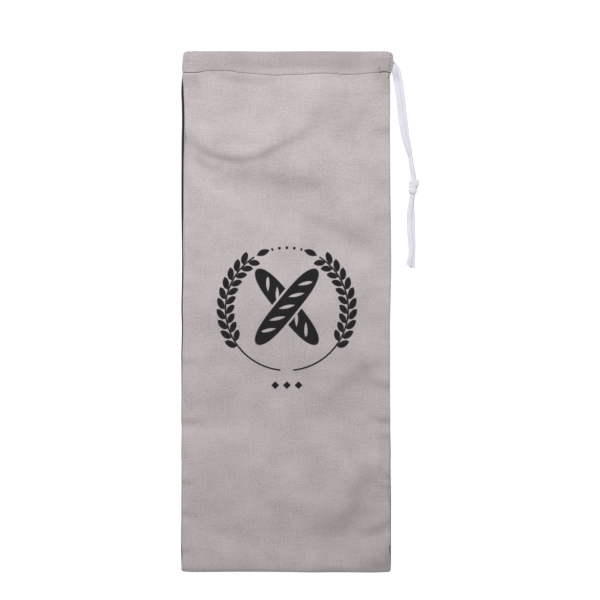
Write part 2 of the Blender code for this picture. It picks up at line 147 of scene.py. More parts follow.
class Field:
    """A number that a material works out at each point."""

    def __init__(self, nodes, socket):
        self.nodes = nodes
        self.socket = socket

    def worked(self, operation, *others):
        node = made_node(self.nodes, "Math", dict(enumerate((self, *others))), operation=operation)
        return Field(self.nodes, node.outputs[0])

    __add__ = partialmethod(worked, "ADD")
    __sub__ = partialmethod(worked, "SUBTRACT")
    __mul__ = partialmethod(worked, "MULTIPLY")
    __truediv__ = partialmethod(worked, "DIVIDE")
    __abs__ = partialmethod(worked, "ABSOLUTE")
    least = partialmethod(worked, "MINIMUM")
    most = partialmethod(worked, "MAXIMUM")

    def __rsub__(self, other):
        return self * -1.0 + other

    def wave(self, long):
        """From 0 to 1 and back over each such length."""
        return (self * (2 * math.pi / long)).worked("SINE") * 0.5 + 0.5

    def between(self, low, high):
        """0 below low and 1 above high, with a soft step between them."""
        inputs = {"Value": self, "From Min": low, "From Max": high}
        node = made_node(self.nodes, "MapRange", inputs, interpolation_type="SMOOTHSTEP")
        return Field(self.nodes, node.outputs["Result"])


def in_plane(nodes, place):
    """A place's first two parts, in millimetres."""
    parts = made_node(nodes, "SeparateXYZ", {0: place})
    return [Field(nodes, parts.outputs[i]) / MM for i in range(2)]


def surface_position(nodes, map_name):
    """Where a point is on its cloth or tape, across and along."""
    return in_plane(nodes, made_node(nodes, "UVMap", {}, uv_map=map_name).outputs["UV"])


def object_position(nodes):
    return in_plane(nodes, made_node(nodes, "TexCoord", {}).outputs["Object"])


def grain(across, along, wide, long, detail=2.0, seed=0.0):
    """Uneven patches of about that width and length, around a half."""
    nodes = across.nodes
    place = made_node(nodes, "CombineXYZ", {0: across / wide + seed, 1: along / long + seed})
    inputs = {"Scale": 1, "Detail": detail, "Vector": place.outputs[0]}
    return Field(nodes, made_node(nodes, "TexNoise", inputs, noise_dimensions="2D").outputs[0])


def shaded(share, first, second):
    """A colour from first to second as the share goes from 0 to 1."""
    first, second = ((*linear(c), 1) if isinstance(c, Shade) else c for c in (first, second))
    return made_node(share.nodes, "Mix", {0: share, 6: first, 7: second}, data_type="RGBA").outputs[2]


def finish(name, rough, sheen):
    made = bpy.data.materials.new(name)
    made.use_nodes = True
    shader = made.node_tree.nodes["Principled BSDF"]
    values = {"Roughness": rough, "Specular IOR Level": 0.25, "Sheen Weight": sheen, "Sheen Roughness": 0.6}
    for slot, value in values.items():
        shader.inputs[slot].default_value = value
    return made, made.node_tree, shader


def dressed(shader, colour, height=None, depth=0.0):
    """A shader's colour, and its relief of that depth in millimetres where the height goes from 0 to 1."""
    links = shader.id_data.links
    links.new(colour, shader.inputs["Base Color"])
    if height:
        inputs = {"Strength": 1, "Distance": depth * MM, "Height": height}
        links.new(made_node(height.nodes, "Bump", inputs).outputs[0], shader.inputs["Normal"])


# The printed design: two ears of wheat round two crossed loaves, worked out as distances to its outline

WREATH_RADIUS = 79.0
WREATH_UP = 3.0
GRAIN_PITCH, GRAIN_LONG, GRAIN_WIDE = 12.6, 9.2, 4.1
GRAIN_OUT, GRAIN_LEAN = 6.2, math.radians(34)
AWN_LONG, AWN_THICK = 11.0, 0.42
EAR_FROM, EAR_TO = -44.0, 80.0  # along the wreath from its middle height, up the ear
STALK_FROM, STALK_THICK = -116.0, 1.1
LOAF_UP, LOAF_LONG, LOAF_WIDE, LOAF_LEAN = 6.0, 62.0, 13.5, math.radians(39)
LOAF_ROUND = 3.4
SCORE_PITCH, SCORE_LONG, SCORE_WIDE, SCORE_LEAN = 19.5, 10.5, 2.0, math.radians(38)
SCORES_TO = 45.0
LOAF_APART = 2.8
BEAD_PITCH, BEAD_RADIUS, BEADS_FROM = 9.6, 1.9, 104.0
LOZENGE_UP, LOZENGE_PITCH, LOZENGE_SIZE, LOZENGES_TO = -95.0, 15.0, 5.2, 22.0
INK_EDGE = 0.35  # how far the ink's edge is soft to either side


def repeated(field, pitch):
    """The distance to the nearest of evenly spaced middles, one of them at zero."""
    return field - (field / pitch).worked("ROUND") * pitch


def leaf(along, across, long, wide):
    """Distance to a pointed leaf shape, below zero inside."""
    share = along / long
    return abs(across) - (1.0 - share * share) * wide


def turned(first, second, angle):
    """The two distances measured along axes turned by an angle."""
    cos, sin = math.cos(angle), math.sin(angle)
    return first * cos + second * sin, second * cos - first * sin


def wheat_ears(right, up):
    aside, above = abs(right), up - WREATH_UP
    out = (aside * aside + above * above).worked("SQRT") - WREATH_RADIUS
    along = above.worked("ARCTAN2", aside) * WREATH_RADIUS
    staggered = along + out.worked("GREATER_THAN", 0.0) * (GRAIN_PITCH / 2)
    near = repeated(staggered, GRAIN_PITCH)
    middle = staggered - near
    lengthways, across = turned(near, abs(out) - GRAIN_OUT, GRAIN_LEAN)
    awn = abs(across).most(abs(lengthways - GRAIN_LONG) - AWN_LONG + GRAIN_LONG) - AWN_THICK
    grains = leaf(lengthways, across, GRAIN_LONG, GRAIN_WIDE).least(awn)
    grains = grains.most(EAR_FROM - middle).most(middle - EAR_TO)
    tip = leaf(along - (EAR_TO + GRAIN_PITCH), out, GRAIN_LONG, GRAIN_WIDE)
    stalk = (abs(out) - STALK_THICK).most(STALK_FROM - along).most(along - EAR_TO)
    top = math.pi / 2 * WREATH_RADIUS
    bead = repeated(along - top, BEAD_PITCH)
    beads = (bead * bead + out * out).worked("SQRT") - BEAD_RADIUS
    beads = beads.most(BEADS_FROM - along)
    return grains.least(tip).least(stalk).least(beads)


def loaf(right, up, lean):
    """Distance to a long loaf, whole and with its scores cut out."""
    along, across = turned(up - LOAF_UP, right, lean)
    ends = (abs(along) / LOAF_LONG).worked("POWER", LOAF_ROUND)
    sides = across / LOAF_WIDE
    whole = (ends + sides * sides - 1.0) * (LOAF_WIDE / 2)
    score = leaf(*turned(repeated(along, SCORE_PITCH), across, SCORE_LEAN), SCORE_LONG, SCORE_WIDE)
    score = score.most(abs(along) - SCORES_TO)
    return whole, whole.most(score * -1.0)


def printed_design(right, up):
    """How much ink there is at a point, from 0 to 1."""
    over, over_scored = loaf(right, up, LOAF_LEAN)
    _, under_scored = loaf(right, up, -LOAF_LEAN)
    loaves = over_scored.least(under_scored.most(LOAF_APART - over))
    lozenge = abs(repeated(right, LOZENGE_PITCH)) + abs(up - LOZENGE_UP) - LOZENGE_SIZE
    lozenges = lozenge.most(abs(right) - LOZENGES_TO)
    edge = wheat_ears(right, up).least(loaves).least(lozenges)
    return edge.between(INK_EDGE, -INK_EDGE)


# Cotton cloth

YARN = 0.46  # between neighbouring threads of the plain weave
INK = Shade(6, 4, 8)

# Unevenness of its lengthwise and crosswise threads, its clouds and its speckle
GRAINS = table(
    "wide long detail seed tone relief",
    (0.9, 34, 3, 11, 0.2, 0.5), (26, 0.8, 3, 23, 0.24, 0.4),
    (46, 46, 3, 5, 0.3, 0), (1.7, 1.9, 4, 31, 0.56, 0.5),
)
WEAVE_TONE, WEAVE_RELIEF = 0.1, 0.55
TONES = 0.46, 0.92  # where the cloth is darkest and lightest
SEED_STRENGTH, INK_WORN = 0.5, 0.2
COTTON_DEPTH = 0.16

# Broad bands of painted light and painted shade, each from low to high along the cloth
PAINTED_SHADE_BANDS = table(
    "low high over lighter",
    (-400, -330, 9, -0.1), (8, 160, 24, 0.05), (-34, -6, 14, -0.03), (-204, -142, 20, 0.04),
    (-284, -246, 16, -0.04), (312, 400, 12, -0.13),
)

# Soft patches of painted shade, and two of painted light, over folds, along the rolled edges, below the
# casing and at the foot's right corner
PAINTED_SHADE_PATCHES = table(
    "left right low high over lighter",
    (113, 200, 299, 327, 10, -0.12), (-82, -38, 200, 258, 20, 0.06), (-95, -30, 150, 192, 20, -0.04),
    (-30, 60, 118, 212, 20, -0.05), (14, 200, -98, -62, 20, -0.04), (-60, 10, -262, -195, 24, 0.045),
    (76, 200, -262, -212, 16, -0.07), (14, 200, -310, -262, 20, -0.05), (108, 200, -330, -304, 12, -0.06),
    (116, 200, -400, -327, 14, -0.24), (36, 200, -400, -331, 8, -0.12),
    (-145, -134, -325, -118, 1.4, -0.12), (-145, -132.6, 298, 334, 1.4, -0.13),
    (-150, -116, 297, 305.5, 5, -0.12), (-150, -112, 289, 305.5, 6, -0.1),
    (131.6, 150, -130, 292, 1.4, -0.07), (131.8, 150, -285, -130, 1.4, -0.17),
    (118, 150, -208, -138, 8, -0.09), (127, 150, -400, -292, 6, -0.12), (124, 150, 289, 303, 6, -0.12),
)


def window(place, low, high, over):
    """One between two soft limits and nothing beyond them."""
    half = over / 2
    return place.between(low - half, low + half) - place.between(high - half, high + half)


def painted_shading(across, along):
    """How much painted light or painted shade the cloth's colour takes in broad bands and patches."""
    total = along * 0.0
    for fade in PAINTED_SHADE_BANDS:
        total += window(along, fade.low, fade.high, fade.over) * fade.lighter
    for patch in PAINTED_SHADE_PATCHES:
        inside = window(across, patch.left, patch.right, patch.over)
        inside = inside * window(along, patch.low, patch.high, patch.over)
        total += inside * patch.lighter
    return total


def cotton(name, light, dark, fleck, with_print):
    """Plain-woven cotton with uneven threads, dark seed flecks, painted light and shade in bands and patches
    and, on one side, the print.
    """
    made, nodes, shader = finish(name, 0.92, 0.18)
    across, along = surface_position(nodes, "cloth")
    warp, weft = ((way * (math.pi / YARN)).worked("SINE") for way in (across, along))
    weave = warp * weft * 0.5 + 0.5
    tone, height = weave * WEAVE_TONE, weave * WEAVE_RELIEF
    for uneven in GRAINS:
        patches = grain(across, along, uneven.wide, uneven.long, uneven.detail, uneven.seed)
        tone += patches * uneven.tone
        height += patches * uneven.relief
    # the cloth's own random tone, with the painted light and shade of the bands and patches added
    colour = shaded((tone + painted_shading(across, along)).between(*TONES), dark, light)
    seeds = grain(across, along, 2.0, 2.6, 1.0, 47.0).between(0.75, 0.81)
    colour = shaded(seeds * SEED_STRENGTH, colour, fleck)
    if with_print:
        worn = grain(across, along, 0.8, 0.8, 3.0, 61.0).between(0.60, 0.80)
        colour = shaded(printed_design(across, along) * (1.0 - worn * INK_WORN), colour, INK)
    dressed(shader, colour, height, COTTON_DEPTH)
    return made


# White braided tape and dark sewing thread

PLAIT = 1.7  # length of one plait of the tape
PLAIT_COLUMNS = 2.0
PLAIT_DEPTH = 0.28
# Range of the tapes' tone, and where across a tape painted shade darkens its rounded edges
TAPE_TONES, PAINTED_EDGE_SHADE = (0.0, 1.1), (0.33, 0.5)
TWIST, TWIST_DEPTH = 0.5, 0.06  # of the thread
# Distances from the casing over which painted shade makes the strands a little greyer and then fades away
# again
# SHADE_COMES_IN, SHADE_GOES_OUT = (82.0, 108.0), (134.0, 150.0)
SHADE_COMES_IN, SHADE_GOES_OUT = (82.0, 108.0), (134.0, 150.0)


def braid(name, bright, shaded_side, shade_share=0.0):
    made, nodes, shader = finish(name, 0.8, 0.3)
    across, along = surface_position(nodes, "tape")
    across = across * MM  # from 0 to 1
    column = across * PLAIT_COLUMNS
    slope = abs(column.worked("FRACT") - 0.5) * 2.0
    plaits = (along / PLAIT + slope * 0.9).wave(1)
    ribs = (column - 0.25).wave(1)
    fibres = grain(across * TAPE_WIDE, along, 0.25, 0.9, 3.0, 3.0)
    worn = grain(across * TAPE_WIDE, along, 7.0, 16.0, 2.0, 9.0)
    # painted shade on the tape's rounded edges
    painted_edge_shade = abs(across - 0.5).between(*PAINTED_EDGE_SHADE)
    # painted shade on the strands' lower part, before the knot
    shade_along = along.between(*SHADE_COMES_IN) - along.between(*SHADE_GOES_OUT)
    tone = plaits * 0.5 + ribs * 0.2 + fibres * 0.4 + worn * 0.3 - painted_edge_shade * 0.15 - shade_along * shade_share
    colour = shaded(tone.between(*TAPE_TONES), shaded_side, bright)
    dressed(shader, colour, plaits * 0.6 + ribs * 0.25 + fibres * 0.35, PLAIT_DEPTH)
    return made


def thread(name, shade, highlight):
    made, nodes, shader = finish(name, 0.75, 0.2)
    right, up = object_position(nodes)
    twist = (right + up * 0.8).wave(TWIST)
    fuzz = grain(right, up, 0.3, 0.3, 2.0, 17.0)
    dressed(shader, shaded(twist * 0.6 + fuzz * 0.4, shade, highlight), twist, TWIST_DEPTH)
    return made


def floor_finish():
    """Pale studio paper with a trace of tooth."""
    made, nodes, shader = finish("studio_paper", 0.95, 0.0)
    tooth = grain(*object_position(nodes), 3.0, 3.0)
    dressed(shader, shaded(tooth, Shade(122, 122, 124), Shade(130, 130, 131)))
    shader.inputs["Emission Color"].default_value = (1, 1, 1, 1)
    shader.inputs["Emission Strength"].default_value = FLOOR_GLOW
    return made


def floor():
    bpy.ops.mesh.primitive_plane_add(size=FLOOR_WIDE * MM, location=(0, 0, -FLOOR_DOWN * MM))
    made = bpy.context.object
    made.name = "floor"
    bpy.ops.object.transform_apply(location=True, rotation=False, scale=False)
    made.data.materials.append(floor_finish())
    bpy.ops.object.select_all(action="DESELECT")


# Shape of the bag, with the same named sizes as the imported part

PANEL = 1.0  # thickness of a panel's solid, whose outer faces the cloth keeps to
SHEET = 0.7  # thickness of the cloth here
HALF = SHEET / 2
CASING_ROOM = 1.6
MOUTH_UP = 335.3
FOLD_OUTER = 0.8  # radius of the mouth's pressed fold, outside
CORD_DEPTH = 18.8
INSET = 4.5
SIDE_TURN, FOOT_TURN = math.radians(102), math.radians(96)
SLIT_FOOT, SLIT_HEAD = 295.0, 304.0
BACK_LEADS = 6.0
LEAST_TURN, CORNER_DEPTH = 0.4, 9.0
BACK_SHY, HEM_SHY = 0.8, 4.75
HEM_END = 32.5
STITCH_DEPTH = 27.5
CASING_WIDE = 27.0
LIP = 0.6  # outer radius where the cloth turns into a seam
ALLOWANCE = 1.6  # of the seam, inside
FOOT_SOFT = 0.4  # how far the cloth has turned where the foot's roll starts
SLIT_HEM, SLIT_RADIUS = 5.0, 0.42
HEM_STRAIGHT = (0.4, 0)  # the slit's hem, next to its fold

# The bag's left and right edges at heights up it
OUTLINE = table(
    "up left right",
    (335.3, -132, 132.8), (333.6, -132.8, 135.3), (331, -133.7, 136.5), (328, -134, 137.1),
    (321, -134.6, 137.1), (316, -135.1, 136.5), (313, -135.1, 135.8), (310.3, -134.7, 135),
    (307, -134.5, 134), (303, -135.2, 132.8), (298, -135.5, 133), (283, -136.2, 133.2),
    (266, -135.6, 133.2), (243, -135.3, 132.9), (220, -135.8, 133), (150, -136, 133.5),
    (128, -135.9, 133.9), (104, -135.6, 134.2), (65, -135.2, 134.5), (34, -135.4, 134.2),
    (4, -136.1, 133.4), (-20, -135.4, 132.9), (-58, -136.1, 133.1), (-80, -135.9, 133),
    (-112, -135.8, 133.2), (-135, -136.5, 133.3), (-150, -135.8, 133.2), (-182, -136.3, 133.8),
    (-198, -136, 133.6), (-245, -136.2, 134.1), (-290, -136.4, 134), (-335.3, -136, 134.1),
)

# Its lower edge
FOOT = table(
    "right low",
    (-137, -335.1), (-121, -336), (-60, -335.7), (0, -336), (33, -336.6), (60, -336.3), (110, -336.7),
    (124, -336.3), (134, -335.9),
)

# How far the mouth's edge dips
MOUTH = table(
    "right lower",
    (-131, 0.3), (-127, 0), (-120.5, 1), (-107, 0), (-62, 0.3), (-20, 0.8), (34, 0.2), (78, 0.6),
    (121, 0.4), (127.8, -0.1), (132.2, 1.3), (134, 1),
)

# How much of the back cloth shows beside the front, rolled round each side's edge
LEFT_ROLL = table(
    "up shows",
    (305, 0), (299, 0.9), (296, 1.7), (291, 2.6), (284, 3.2), (228, 3.4), (190, 2.9), (131, 2.75),
    (100, 1.95), (78, 1.55), (50, 1.9), (4, 1.65), (-40, 1.4), (-75, 1.1), (-110, 0.5), (-135, 0),
    (-264, 0), (-278, 0.3), (-296, 0.45), (-302, 0.75), (-308, 1.35), (-314, 1.2), (-319, 0.4), (-325, 0.2),
    (-331, 0), (-335, 0),
)
RIGHT_ROLL = table(
    "up shows",
    (-110, 0), (-165, 0.3), (-236, 0.6), (-268, 0.75), (-299, 0.75), (-303.5, 1.8), (-311, 1.8),
    (-317, 0.9), (-325, 0.8), (-331, 0), (-335, 0),
)

# Radius of the rolled sides, and how far the middle rises above them
SECTIONS = table(
    "up edge_radius loft",
    (335.3, 3.5, 4.8), (322, 3.3, 4.5), (308, 2.9, 4.2), (303, 2.85, 4.2), (288, 2.4, 5.1),
    (272, 1.65, 6.1), (140, 1.65, 5.5), (60, 1.65, 6.2), (10, 1.65, 6.7), (-28, 1.65, 5.6), (-130, 1.65, 5),
    (-205, 1.65, 4.4), (-246, 1.65, 2.8), (-285, 1.65, 1.6), (-300, 1.65, 1.45), (-318, 1.65, 1.3),
    (-326, 1.65, 0.95), (-331.7, 1.65, 0.46),
)
BULGE_SHOULDER, BULGE_RUN = 3.2, 1.2

# The casing's sewn line
SEWN = table(
    "right up",
    (-136, 307.5), (-116, 307.7), (-109.3, 308.7), (-99, 309.8), (-76, 309.8), (-68, 308.9), (-62.9, 307.7),
    (-50, 306.7), (-32, 305.1), (-11.4, 303.9), (-1, 304.8), (24, 305.1), (36, 306.3), (50, 306.7),
    (60.7, 306.1), (72, 305), (91.6, 305.4), (101.9, 306.6), (117.4, 307.9), (122.5, 308.8), (128, 308.9),
    (132.8, 307.9),
)

# How far the hem lies from its panel, by depth below the mouth
CASING = table(
    "depth apart",
    (FOLD_OUTER, 2 * FOLD_OUTER - SHEET), (6, 2.2), (11.5, SHEET + CASING_ROOM), (22, SHEET + CASING_ROOM),
    (27, SHEET + 0.04), (33.5, SHEET + 0.04),
)


def curve(at, level):
    """A smooth function through the levels that doesn't overshoot them."""
    step = np.diff(at)
    slope = np.diff(level) / step
    tangent = np.concatenate([slope[:1], np.zeros(len(slope) - 1), slope[-1:]])
    for i in range(1, len(slope)):
        if slope[i - 1] * slope[i] > 0:
            tangent[i] = 2 * slope[i - 1] * slope[i] / (slope[i - 1] + slope[i])

    def read(where):
        where = np.clip(np.asarray(where, float), at[0], at[-1])
        i = np.clip(np.searchsorted(at, where, side="right") - 1, 0, len(step) - 1)
        t = (where - at[i]) / step[i]
        rise = level[i + 1] - level[i]
        bend_in, bend_out = tangent[i] * step[i] - rise, rise - tangent[i + 1] * step[i]
        return level[i] + rise * t + t * (1 - t) * ((1 - t) * bend_in + t * bend_out)

    return read


def track(rows, key, value):
    """The curve through two columns of a table."""
    pairs = sorted((getattr(row, key), getattr(row, value)) for row in rows)
    return curve(*np.array(pairs, float).T)


def run_along(points):
    """How far along a line of points each of them is."""
    return np.concatenate([[0], np.cumsum(np.linalg.norm(np.diff(points, axis=0), axis=1))])


def unit(ways):
    """The ways, each made one long."""
    return ways / np.linalg.norm(ways, axis=-1, keepdims=True)


def ease(share):
    share = np.clip(share, 0.0, 1.0)
    return share * share * (3 - 2 * share)


left_edge = track(OUTLINE, "up", "left")
right_edge = track(OUTLINE, "up", "right")
foot_edge = track(FOOT, "right", "low")
mouth_dip = track(MOUTH, "right", "lower")
back_shows = {"left": track(LEFT_ROLL, "up", "shows"), "right": track(RIGHT_ROLL, "up", "shows")}
edge_radius = track(SECTIONS, "up", "edge_radius")
loft = track(SECTIONS, "up", "loft")
sewn_line = track(SEWN, "right", "up")
layers_apart = track(CASING, "depth", "apart")

# Folds of the front: along each line the cloth steps down from its left-hand side to its right-hand one,
# and comes back to level over the reach on either side

def fold(reach, *points):
    """A crease: how far it is felt, and its line, with its height and how steep it is at each point."""
    return reach, table("right up high steep", *points)


CREASES = [
    fold(30, (-133, 234, 0.6, 6), (-123, 221, 2, 6), (-113, 211, 2.7, 5.5), (-100, 203, 2.4, 4.6),
         (-83, 198, 2, 3.6), (-62, 195, 1.5, 3.4), (-45, 197, 1.1, 3.8), (-32, 201, 1.3, 4),
         (-18, 209, 1.5, 4), (-2, 217, 1.5, 4.2), (11, 223, 1.3, 5), (25, 232, 0.9, 6), (38, 247, 0.6, 8),
         (54, 262, 0.5, 9), (80, 280, 0, 9)),
    fold(14, (-126, 208, 0, 4.5), (-108, 191, 1.5, 4), (-94, 185, 1.5, 4), (-78, 190, 0, 4)),
    fold(34, (-108, 168, 0, 10), (-86, 172, 1.6, 10), (-60, 175, 2.2, 10), (-38, 176, 1.4, 10),
         (-20, 176, 0, 10)),
    fold(52, (-42, 180, 0, 10), (-16, 171, 2.3, 11), (12, 167, 3.3, 11), (36, 162, 3.1, 11),
         (54, 150, 2.2, 12), (68, 136, 1.2, 12), (77, 122, 0, 12)),
    fold(56, (4, 119, 0, 8), (34, 117, 1.2, 8), (60, 109, 2.5, 10), (80, 99, 3, 11), (97, 89, 2.6, 11),
         (112, 81, 1.2, 11), (126, 74, 0, 11)),
    fold(60, (-34, 152, 0, 22), (10, 144, 1.6, 22), (46, 126, 2.4, 22), (80, 94, 2.4, 22), (112, 66, 0, 22)),
    fold(24, (50, 226, 0, 9), (72, 232, 0.8, 8), (92, 245, 1.1, 7.5), (103, 266, 0.9, 6.5),
         (112, 282, 0, 7)),
    fold(16, (103, 226, 0, 5), (118, 233, 1.1, 4.6), (129, 233, 1.4, 4.4), (137, 231, 1.2, 4.4)),
    fold(16, (106, 312, 0, 6), (120, 299, 0.9, 5.5), (130, 284, 0.9, 5.5), (137, 274, 0, 6)),
    fold(20, (-108, 262, 0, 9), (-78, 259, 0.6, 7), (-44, 263, 0, 9)),
    fold(20, (100, 122, 0, 8), (120, 120, 0.9, 7), (137, 116, 0.6, 7)),
    fold(22, (-124, -20, 0, 8), (-84, -18, 0.7, 7), (-40, -21, 0, 9)),
    fold(34, (26, -136, 0, 13), (54, -116, 2.2, 13), (75, -92, 3.1, 12), (93, -80, 3.2, 11),
         (114, -68, 2.4, 10), (136, -62, 1.2, 9)),
    fold(20, (98, -84, 0, 8), (118, -92, 2, 7), (137, -100, 2, 6)),
    fold(16, (76, -186, 0, 5), (78, -160, 0.6, 4.5), (77, -130, 0, 5)),
    fold(34, (-18, -280, 0, 10), (14, -284, 1, 10), (41, -283, 2, 11), (66, -276, 2.6, 13),
         (84, -258, 2.8, 13), (93, -234, 3.4, 12), (98, -209, 2.8, 9.5), (102, -186, 0, 8)),
    fold(18, (94, -210, 0, 7), (110, -220, 2.2, 6.5), (126, -228, 4.4, 6), (138, -232, 3.6, 5.5)),
    fold(20, (86, -190, 0, 9), (103, -203, 2, 10), (121, -209, 2.9, 10), (138, -211, 2.9, 8)),
    fold(20, (84, -282, 0, 8), (104, -284, 2, 8), (121, -278, 2.8, 7), (138, -268, 2.2, 5.5)),
    fold(26, (-116, -274, 0, 10), (-78, -281, 1.1, 9), (-40, -288, 0, 10)),
    fold(16, (-92, 306, 0, 5), (-70, 300, 1.1, 4.6), (-40, 297, 0.9, 5), (-8, 299, 0, 6)),
    fold(30, (113, -363, 2, 11), (134, -335, 2.4, 10), (158, -303, 1.4, 11)),
    fold(24, (76, -328, 0, 6), (104, -325, 1.6, 7), (140, -321, 1.6, 8)),
    fold(26, (100, -346, 0.6, 8), (119, -325, 1.6, 8), (138, -302, 1, 8)),
    fold(26, (-88, 224, 0, 9), (-44, 228, -0.9, 9), (-6, 236, 0, 8)),
    fold(15, (-92, 214, 0, 6), (-64, 210, -1.2, 6), (-38, 212, -1.2, 6), (-14, 224, 0, 6)),
]
CREASE_STEP = 5.0

# Puckers that run in from the sewn edges: the height of each, how far it runs to the right and up
# (those at the right edge run to the left), and its relief
PUCKERS = table(
    "up inward rise high",
    (296, 16, -8, 0.7), (-66, 32, 4, 0.8), (-143, 36, 2, 1.4), (-219, 22, -4, 1.3),
    (-258, 36, -10, 1.1), (-310, 14, 4, 1.5), (118, 22, -3, 0.5), (34, 26, 2, 0.5), (-98, -20, 4, 0.7),
    (-141, -32, 7, 1.6), (-162, -18, 2, 1.3), (-214, -14, 2, 1.6), (150, -20, 4, 0.5),
    (28, -24, -2, 0.5), (190, -18, 3, 0.4),
)
PUCKER_STEEP, PUCKER_REACH = 3.6, 11.0
PUCKER_FADES = (0, 1, 1), (0.5, 0.7, 1.2), (1, 0, 1.5)  # share of the way in, of the height and of the slope

SEAM_RIPPLES = table("long high", (19.7, 0.1), (11.3, 0.11), (7.1, 0.06))
SEAM_RIPPLE_IN = 8.0
SEWN_RIPPLES = table("long high", (17.3, 0.1), (9.1, 0.1), (5.9, 0.05))
SEWN_RIPPLE_OFF = 8.0
UNEVEN_WAVES = 26
UNEVEN_FROM, UNEVEN_TO = 22.0, 150.0
UNEVEN_HIGH = 0.27
SAGS = table("long high", (61, 0.16), (36, 0.09), (24.5, 0.05))  # level waves of the slack lower half
SAGS_FROM, SAGS_OVER = 40.0, 140.0
SAG_UNEVEN, SAG_LEAN = 0.3, 0.06
CASING_RISE = 0.9  # of the mouth's edge above the sewn line
GROOVE_DEEP, GROOVE_HALF_WIDE = 0.4, 1.2  # of the sewn line
BELOW_DEEP, BELOW_WIDE = 0.3, 40.0  # of the hollow below it
HEM_STEP = 0.3  # where the casing's own hem ends, across it and at its open end
HEM_RIGHT, HEM_LOW, HEM_HIGH = 118.2, 309.0, 331.0  # of that open end
LEAST_TOP, BACK_TOUCH = 1.8, 0.25  # where the front's folds come to rest on the back, and how softly


def smooth_line(points, step):
    """Points read along a smooth curve through the given ones, each with its other values."""
    points = np.array(points, float)
    reach = run_along(points[:, :2])
    stops = np.linspace(0, reach[-1], max(2, round(reach[-1] / step) + 1))
    return stops, np.stack([curve(reach, column)(stops) for column in points.T], axis=1)


def stepped(right, up, line, reach):
    """The height that one crease adds."""
    nearest = np.full(right.shape, np.inf)
    found = np.zeros((3, *right.shape))
    for start, end in zip(line, line[1:]):
        way = end[:2] - start[:2]
        long = math.hypot(*way)
        way = way / long
        away_right, away_up = right - start[0], up - start[1]
        on = np.clip((away_right * way[0] + away_up * way[1]) / long, 0, 1)
        off = np.hypot(away_right - way[0] * on * long, away_up - way[1] * on * long)
        side = np.where(way[0] * away_up - way[1] * away_right >= 0, 1.0, -1.0)
        high, steep = (start[k] + (end[k] - start[k]) * on for k in (2, 3))
        found = np.where(off < nearest, (off * side, high, steep), found)
        nearest = np.minimum(nearest, off)
    signed, high, steep = found
    return high * np.tanh(signed / steep) * np.exp(-((signed / reach) ** 2))


def pucker_line(pucker):
    edge = (left_edge if pucker.inward > 0 else right_edge)(pucker.up)
    points = []
    for share, fade, spread in PUCKER_FADES:
        place = edge + pucker.inward * share, pucker.up + pucker.rise * share
        points.append((*place, pucker.high * fade, PUCKER_STEEP * spread))
    return sorted(points)


def creased_heights():
    """The heights of all creases and puckers over the front, worked out once."""
    lines = CREASES + [(PUCKER_REACH, pucker_line(pucker)) for pucker in PUCKERS]
    heights = np.zeros((len(MAP_UP), len(MAP_RIGHT)))
    for reach, line in lines:
        line = smooth_line(line, CREASE_STEP)[1]
        (left, low), (right, high) = line[:, :2].min(axis=0), line[:, :2].max(axis=0)
        columns = abs(MAP_RIGHT - (left + right) / 2) < (right - left) / 2 + FADED * reach
        rows = abs(MAP_UP - (low + high) / 2) < (high - low) / 2 + FADED * reach
        places = np.meshgrid(MAP_RIGHT[columns], MAP_UP[rows])
        heights[np.ix_(rows, columns)] += stepped(*places, line, reach)
    return heights


MAP_RIGHT, MAP_UP = np.arange(-145.0, 146.0), np.arange(-345.0, 346.0)  # one reading to the millimetre
FADED = 2.4
CREASED = creased_heights()


def creased(right, up):
    """The creases' height at any place, between the readings round it."""
    across = np.clip(right - MAP_RIGHT[0], 0, len(MAP_RIGHT) - 2)
    along = np.clip(up - MAP_UP[0], 0, len(MAP_UP) - 2)
    i, j = along.astype(int), across.astype(int)
    s, t = along - i, across - j
    below = CREASED[i, j] * (1 - t) + CREASED[i, j + 1] * t
    above = CREASED[i + 1, j] * (1 - t) + CREASED[i + 1, j + 1] * t
    return below * (1 - s) + above * s


draw = np.random.default_rng(20)
WAVES = []
for i in range(UNEVEN_WAVES):
    long = UNEVEN_FROM * (UNEVEN_TO / UNEVEN_FROM) ** (i / (UNEVEN_WAVES - 1))
    bearing, start = draw.uniform(0, math.pi), draw.uniform(0, 2 * math.pi)
    high = UNEVEN_HIGH * (long / UNEVEN_TO) ** 1.15 * draw.uniform(0.6, 1.2)
    WAVES.append((math.cos(bearing) / long, math.sin(bearing) / long, start, high))


def rippled(along, ripples, seed):
    waves = enumerate(ripples)
    return sum(r.high * np.sin(2 * math.pi * along / r.long + seed * (i + 1.7)) for i, r in waves)


